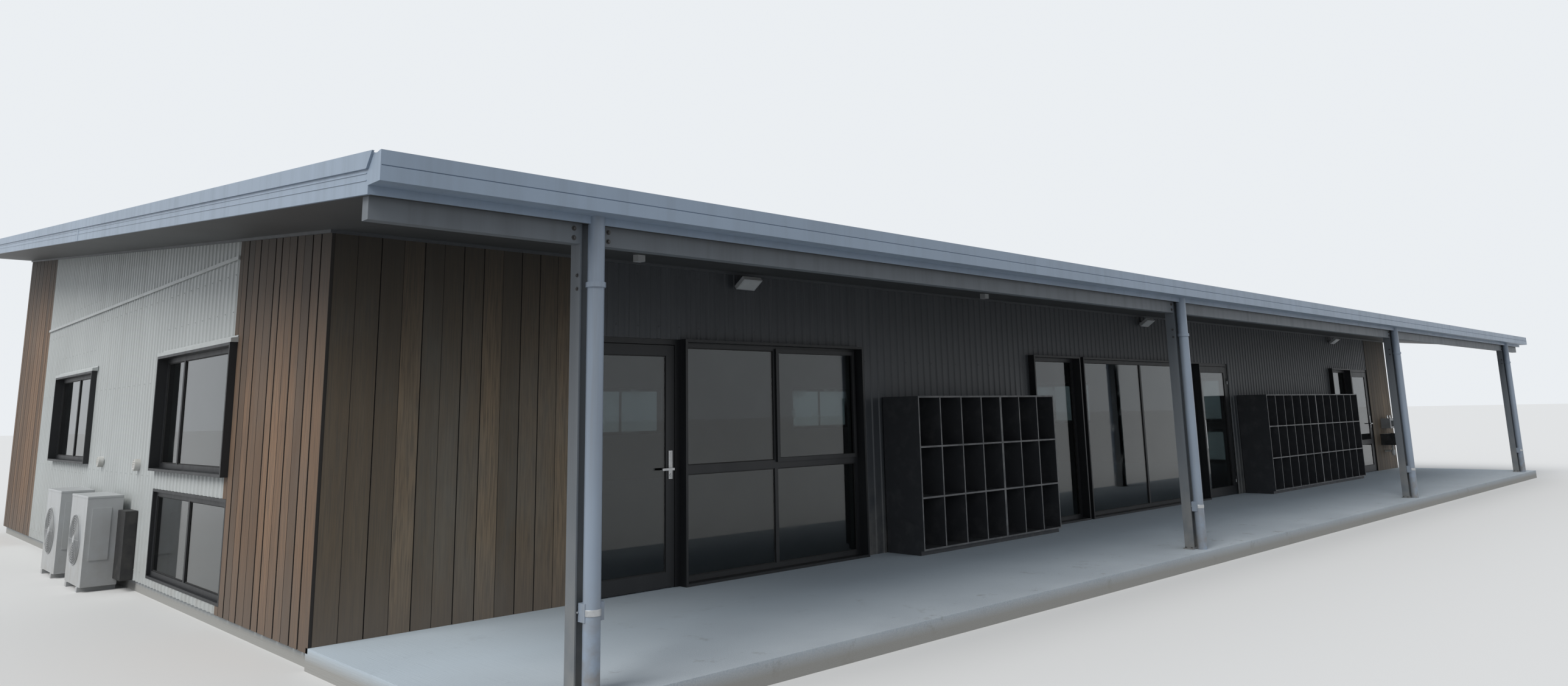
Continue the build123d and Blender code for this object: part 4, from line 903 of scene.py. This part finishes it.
# Two outdoor heat pump units stand on rubber feet against the near end wall, blowing away from it.
# Enamelled sheet steel cases with a wire guard over the fan and a loose lid; a black cover hides
# the pipes.
case_enamel = painted_steel("case enamel", (0.560, 0.580, 0.590), (0.460, 0.465, 0.460),
                            0.38, 0.45, 0.45)
dress(case_enamel, "heat_pumps")
FAN_FACE = NEAR_X - 0.400
FAN_Z = 0.500
GUARD_STEP = 0.024
FAN_ALONG = 0.448  # from the start of a case to the middle of its fan
LID_LENGTH = 0.807
lid_x = (NEAR_X - 0.3915, NEAR_X - 0.0685)
lid_z = (0.932, 0.9535)
fan_shade_parts = []
wire_parts = []
lid_parts = []
for start in (FRONT_Y + 5.280, FRONT_Y + 6.720):
    hub = Matrix.Translation((FAN_FACE, start + FAN_ALONG, FAN_Z)) @ to_near
    fan_shade_parts.append(turned(((0.250, -0.002), (0.250, 0.0008), (0.246, 0.0012)), 48, hub))
    wire_parts.append(turned(((0.040, 0.0), (0.040, 0.007), (0.034, 0.010)), 24, hub))
    for ring in range(9):
        deselect()
        bpy.ops.mesh.primitive_torus_add(major_radius=0.055 + ring * GUARD_STEP, minor_radius=0.0018,
                                         major_segments=48, minor_segments=6)
        wire = bpy.context.object
        wire.data.transform(hub @ Matrix.Translation((0.0, 0.0, 0.006)))
        wire_parts.append(wire)
    for spoke in range(8):
        wire = box_at((0.036, -0.0018, 0.0035), (0.252, 0.0018, 0.0065))
        bevel_edges(wire, 0.0008, lambda a, b: abs(a.x - b.x) > 0.1, 1)
        wire.data.transform(hub @ Matrix.Rotation(math.tau * spoke / 8, 4, "Z"))
        wire_parts.append(wire)
    lid_start = start - 0.0035
    lid = box_at((lid_x[0], lid_start, lid_z[0]), (lid_x[1], lid_start + LID_LENGTH, lid_z[1]))
    bevel_edges(lid, 0.006, lambda a, b: min(a.z, b.z) > 0.950 or abs(a.z - b.z) > 0.01, 3)
    lid_parts.append(lid)
# A flat grey disc behind each guard stands in for the fan hollow: its grey is painted shade.
shadow, tree = shader_tree("fan hollow painted shade")
cloud = pattern(tree, 14.0)
surface(tree, base_color=mixed(tree, cloud, (0.130, 0.135, 0.138), (0.190, 0.195, 0.198)),
        roughness=0.6)
finish_piece(fan_shade_parts, "fan_hollow_shades", shadow)
finish_piece(wire_parts, "fan_guards", case_enamel)
finish_piece(lid_parts, "pump_lids", case_enamel)
black_plastic, tree = shader_tree("black cover plastic")
grime = spread(tree, pattern(tree, 7.0, 6.0), 0.42, 0.68)
surface(tree, base_color=mixed(tree, grime, (0.020, 0.020, 0.021), (0.050, 0.048, 0.045)),
        roughness=spread(tree, grime, 0.0, 1.0, 0.42, 0.62),
        normal=bumped(tree, pattern(tree, 260.0, 2.0), 0.0005, 0.5))
dress(black_plastic, "pipe_cover")


# Round air vents sit on the end wall cladding, moulded in white plastic with a rim and sloping slats.
# Screwed over their holes and a little yellowed by the sun.
vent_plastic, tree = shader_tree("vent plastic")
yellowed = spread(tree, pattern(tree, 8.0, 5.0), 0.4, 0.65)
surface(tree, base_color=mixed(tree, yellowed, (0.66, 0.66, 0.64), (0.52, 0.51, 0.47)),
        roughness=0.45, normal=bumped(tree, pattern(tree, 200.0, 2.0), 0.0004, 0.4))
dress(vent_plastic, "wall_vents")
VENT_Z = 1.260
VENT_FACE = NEAR_X - 0.050
SLAT_R = 0.053
slat_parts = []
for along in (FRONT_Y + 5.080, FRONT_Y + 6.830):
    deselect()
    bpy.ops.mesh.primitive_torus_add(major_radius=0.055, minor_radius=0.004, major_segments=40,
                                     minor_segments=8)
    rim = bpy.context.object
    rim.data.transform(Matrix.Translation((VENT_FACE, along, VENT_Z)) @ to_near)
    slat_parts.append(rim)
    for up in (-0.036, -0.018, 0.0, 0.018, 0.036):
        reach = math.sqrt(SLAT_R ** 2 - up ** 2)
        slat = box_at((VENT_FACE - 0.006, along - reach, VENT_Z + up - 0.0015),
                      (VENT_FACE + 0.001, along + reach, VENT_Z + up + 0.0015))
        bevel_edges(slat, 0.0006, lambda a, b: abs(a.y - b.y) > 0.01, 1)
        for v in slat.data.vertices:
            if v.co.x < VENT_FACE - 0.002:
                v.co.z -= 0.006
        slat_parts.append(slat)
finish_piece(slat_parts, "vent_slats", vent_plastic)


# A wash trough hangs on the far cedar wall, folded steel with a dark enamel, under a pale box with
# two taps. The taps are chromed brass; a white plastic trap drains the trough back into the wall.
trough_finish, tree = shader_tree("trough enamel and tap box paint")
grime = spread(tree, pattern(tree, 6.0, 6.0), 0.42, 0.66)
dark = mixed(tree, grime, (0.026, 0.027, 0.028), (0.070, 0.070, 0.068))
rain = spread(tree, pattern(tree, 5.0, 6.0), 0.42, 0.66)
pale = mixed(tree, rain, (0.400, 0.410, 0.415), (0.300, 0.305, 0.305))
box_part = spread(tree, own_place(tree)["Z"], 0.99, 1.01)
surface(tree, base_color=mixed(tree, box_part, dark, pale), roughness=0.42,
        normal=bumped(tree, pattern(tree, 300.0, 2.0), 0.0003, 0.5))
dress(trough_finish, "drink_trough")
TAP_BOX_TOP = 1.2725
TRAP_X = NEAR_X + 23.250
tap_body = ((0.024, 0.0), (0.024, 0.003), (0.020, 0.006), (0.0175, 0.010), (0.0175, 0.046),
            (0.020, 0.050), (0.020, 0.060), (0.017, 0.066), (0.009, 0.069))
tap_spout = ((0.009, 0.0), (0.009, 0.040), (0.0105, 0.042), (0.0105, 0.052), (0.007, 0.054))
trap_body = ((0.022, 0.694), (0.022, 0.668), (0.030, 0.664), (0.030, 0.640), (0.021, 0.636),
             (0.021, 0.590), (0.036, 0.584), (0.038, 0.580), (0.038, 0.505), (0.034, 0.497),
             (0.030, 0.470), (0.022, 0.464))
trap_outlet = ((0.019, 0.0), (0.019, 0.020), (0.026, 0.022), (0.026, 0.044), (0.019, 0.046),
               (0.019, 0.150))
to_rear = Matrix.Rotation(math.radians(-90), 4, "X")
spout_place = Matrix.Translation((0.0, 0.0, 0.042)) @ Matrix.Rotation(math.radians(78), 4, "X")
tap_parts = []
for x in (NEAR_X + 23.310, NEAR_X + 23.490):
    stand = Matrix.Translation((x, FRONT_Y - 0.110, TAP_BOX_TOP))
    tap_parts.append(turned(tap_body, 28, stand))
    tap_parts.append(turned(tap_spout, 20, stand @ spout_place))
chrome, tree = shader_tree("chromed brass")
surface(tree, base_color=mixed(tree, pattern(tree, 50.0), (0.60, 0.61, 0.62), (0.78, 0.79, 0.80)),
        metallic=1.0, roughness=spread(tree, pattern(tree, 40.0, 4.0), 0.4, 0.7, 0.10, 0.28))
finish_piece(tap_parts, "trough_taps", chrome)
trap_parts = [
    turned(trap_body, 32, Matrix.Translation((TRAP_X, FRONT_Y - 0.170, 0.0))),
    turned(trap_outlet, 28, Matrix.Translation((TRAP_X, FRONT_Y - 0.150, 0.560)) @ to_rear),
]
white_plastic, tree = shader_tree("white waste plastic")
stain = spread(tree, pattern(tree, 9.0, 5.0), 0.4, 0.65)
surface(tree, base_color=mixed(tree, stain, (0.62, 0.62, 0.60), (0.48, 0.475, 0.45)),
        roughness=0.38, normal=bumped(tree, pattern(tree, 150.0, 2.0), 0.0004, 0.4))
finish_piece(trap_parts, "trough_trap", white_plastic)


# Hexagon-headed screws with washers fix the ribbed sheets through every second valley, in level rows.
# They are painted with the sheets, and show only as small shadows from close by.
SHEET_SCREW = 0.0045
SCREW_EDGE = 0.02  # from the side of a sheet to its first and last screw


def screw_rows(wall, start, end, levels):
    """Rows of screws over one rectangle of ribbed sheet."""
    left, right = sorted((start * runs_back[wall], end * runs_back[wall]))
    step = RIB_PITCH * 2
    first = math.ceil((left + SCREW_EDGE) / RIB_PITCH) * RIB_PITCH + 0.015
    count = int((right - SCREW_EDGE - first) / step) + 1
    rows = []
    for level in levels if count > 0 else ():
        screw = screw_head(SHEET_SCREW, Matrix.Translation((first, level, 0.0)))
        rows.append(stood_up(repeated(screw, count, (step, 0.0, 0.0)), wall))
    return rows


dark_rows = []
full_lengths = ((NEAR_WINDOW[1], ENTRANCE[0]), (ENTRANCE[1], FAR_WINDOW[0]),
                (FAR_WINDOW[1], FAR_DOOR[0]))
for start, end in full_lengths:
    dark_rows += screw_rows("front", start, end, (0.25, 1.25, 2.20, 2.93))
for start, end in ((CEDAR_FRONT, NEAR_WINDOW[1]), ENTRANCE, FAR_WINDOW, FAR_DOOR):
    dark_rows += screw_rows("front", start, end, (2.46, 2.93))
finish_piece(dark_rows, "dark_sheet_screws", dark_steel)
pale_rows = []
for wall in ("near", "far"):
    for start, end in ((END_WINDOW[1], END_WINDOW_FAR[0]), (END_WINDOW_FAR[1], DEPTH - CEDAR_REAR)):
        pale_rows += screw_rows(wall, start, end, (0.22, 1.16, 2.10, 2.95))
    pale_rows += screw_rows(wall, SHEET_START, END_WINDOW[1], (2.62, 2.95))
    pale_rows += screw_rows(wall, END_WINDOW_FAR[0], END_WINDOW_FAR[1], (0.22, 1.10, 2.62, 3.25))
for start, end in rear_lengths:
    pale_rows += screw_rows("rear", start, end, (0.22, 1.16, 2.10, 3.05, 4.00))
finish_piece(pale_rows, "pale_sheet_screws", pale_steel)
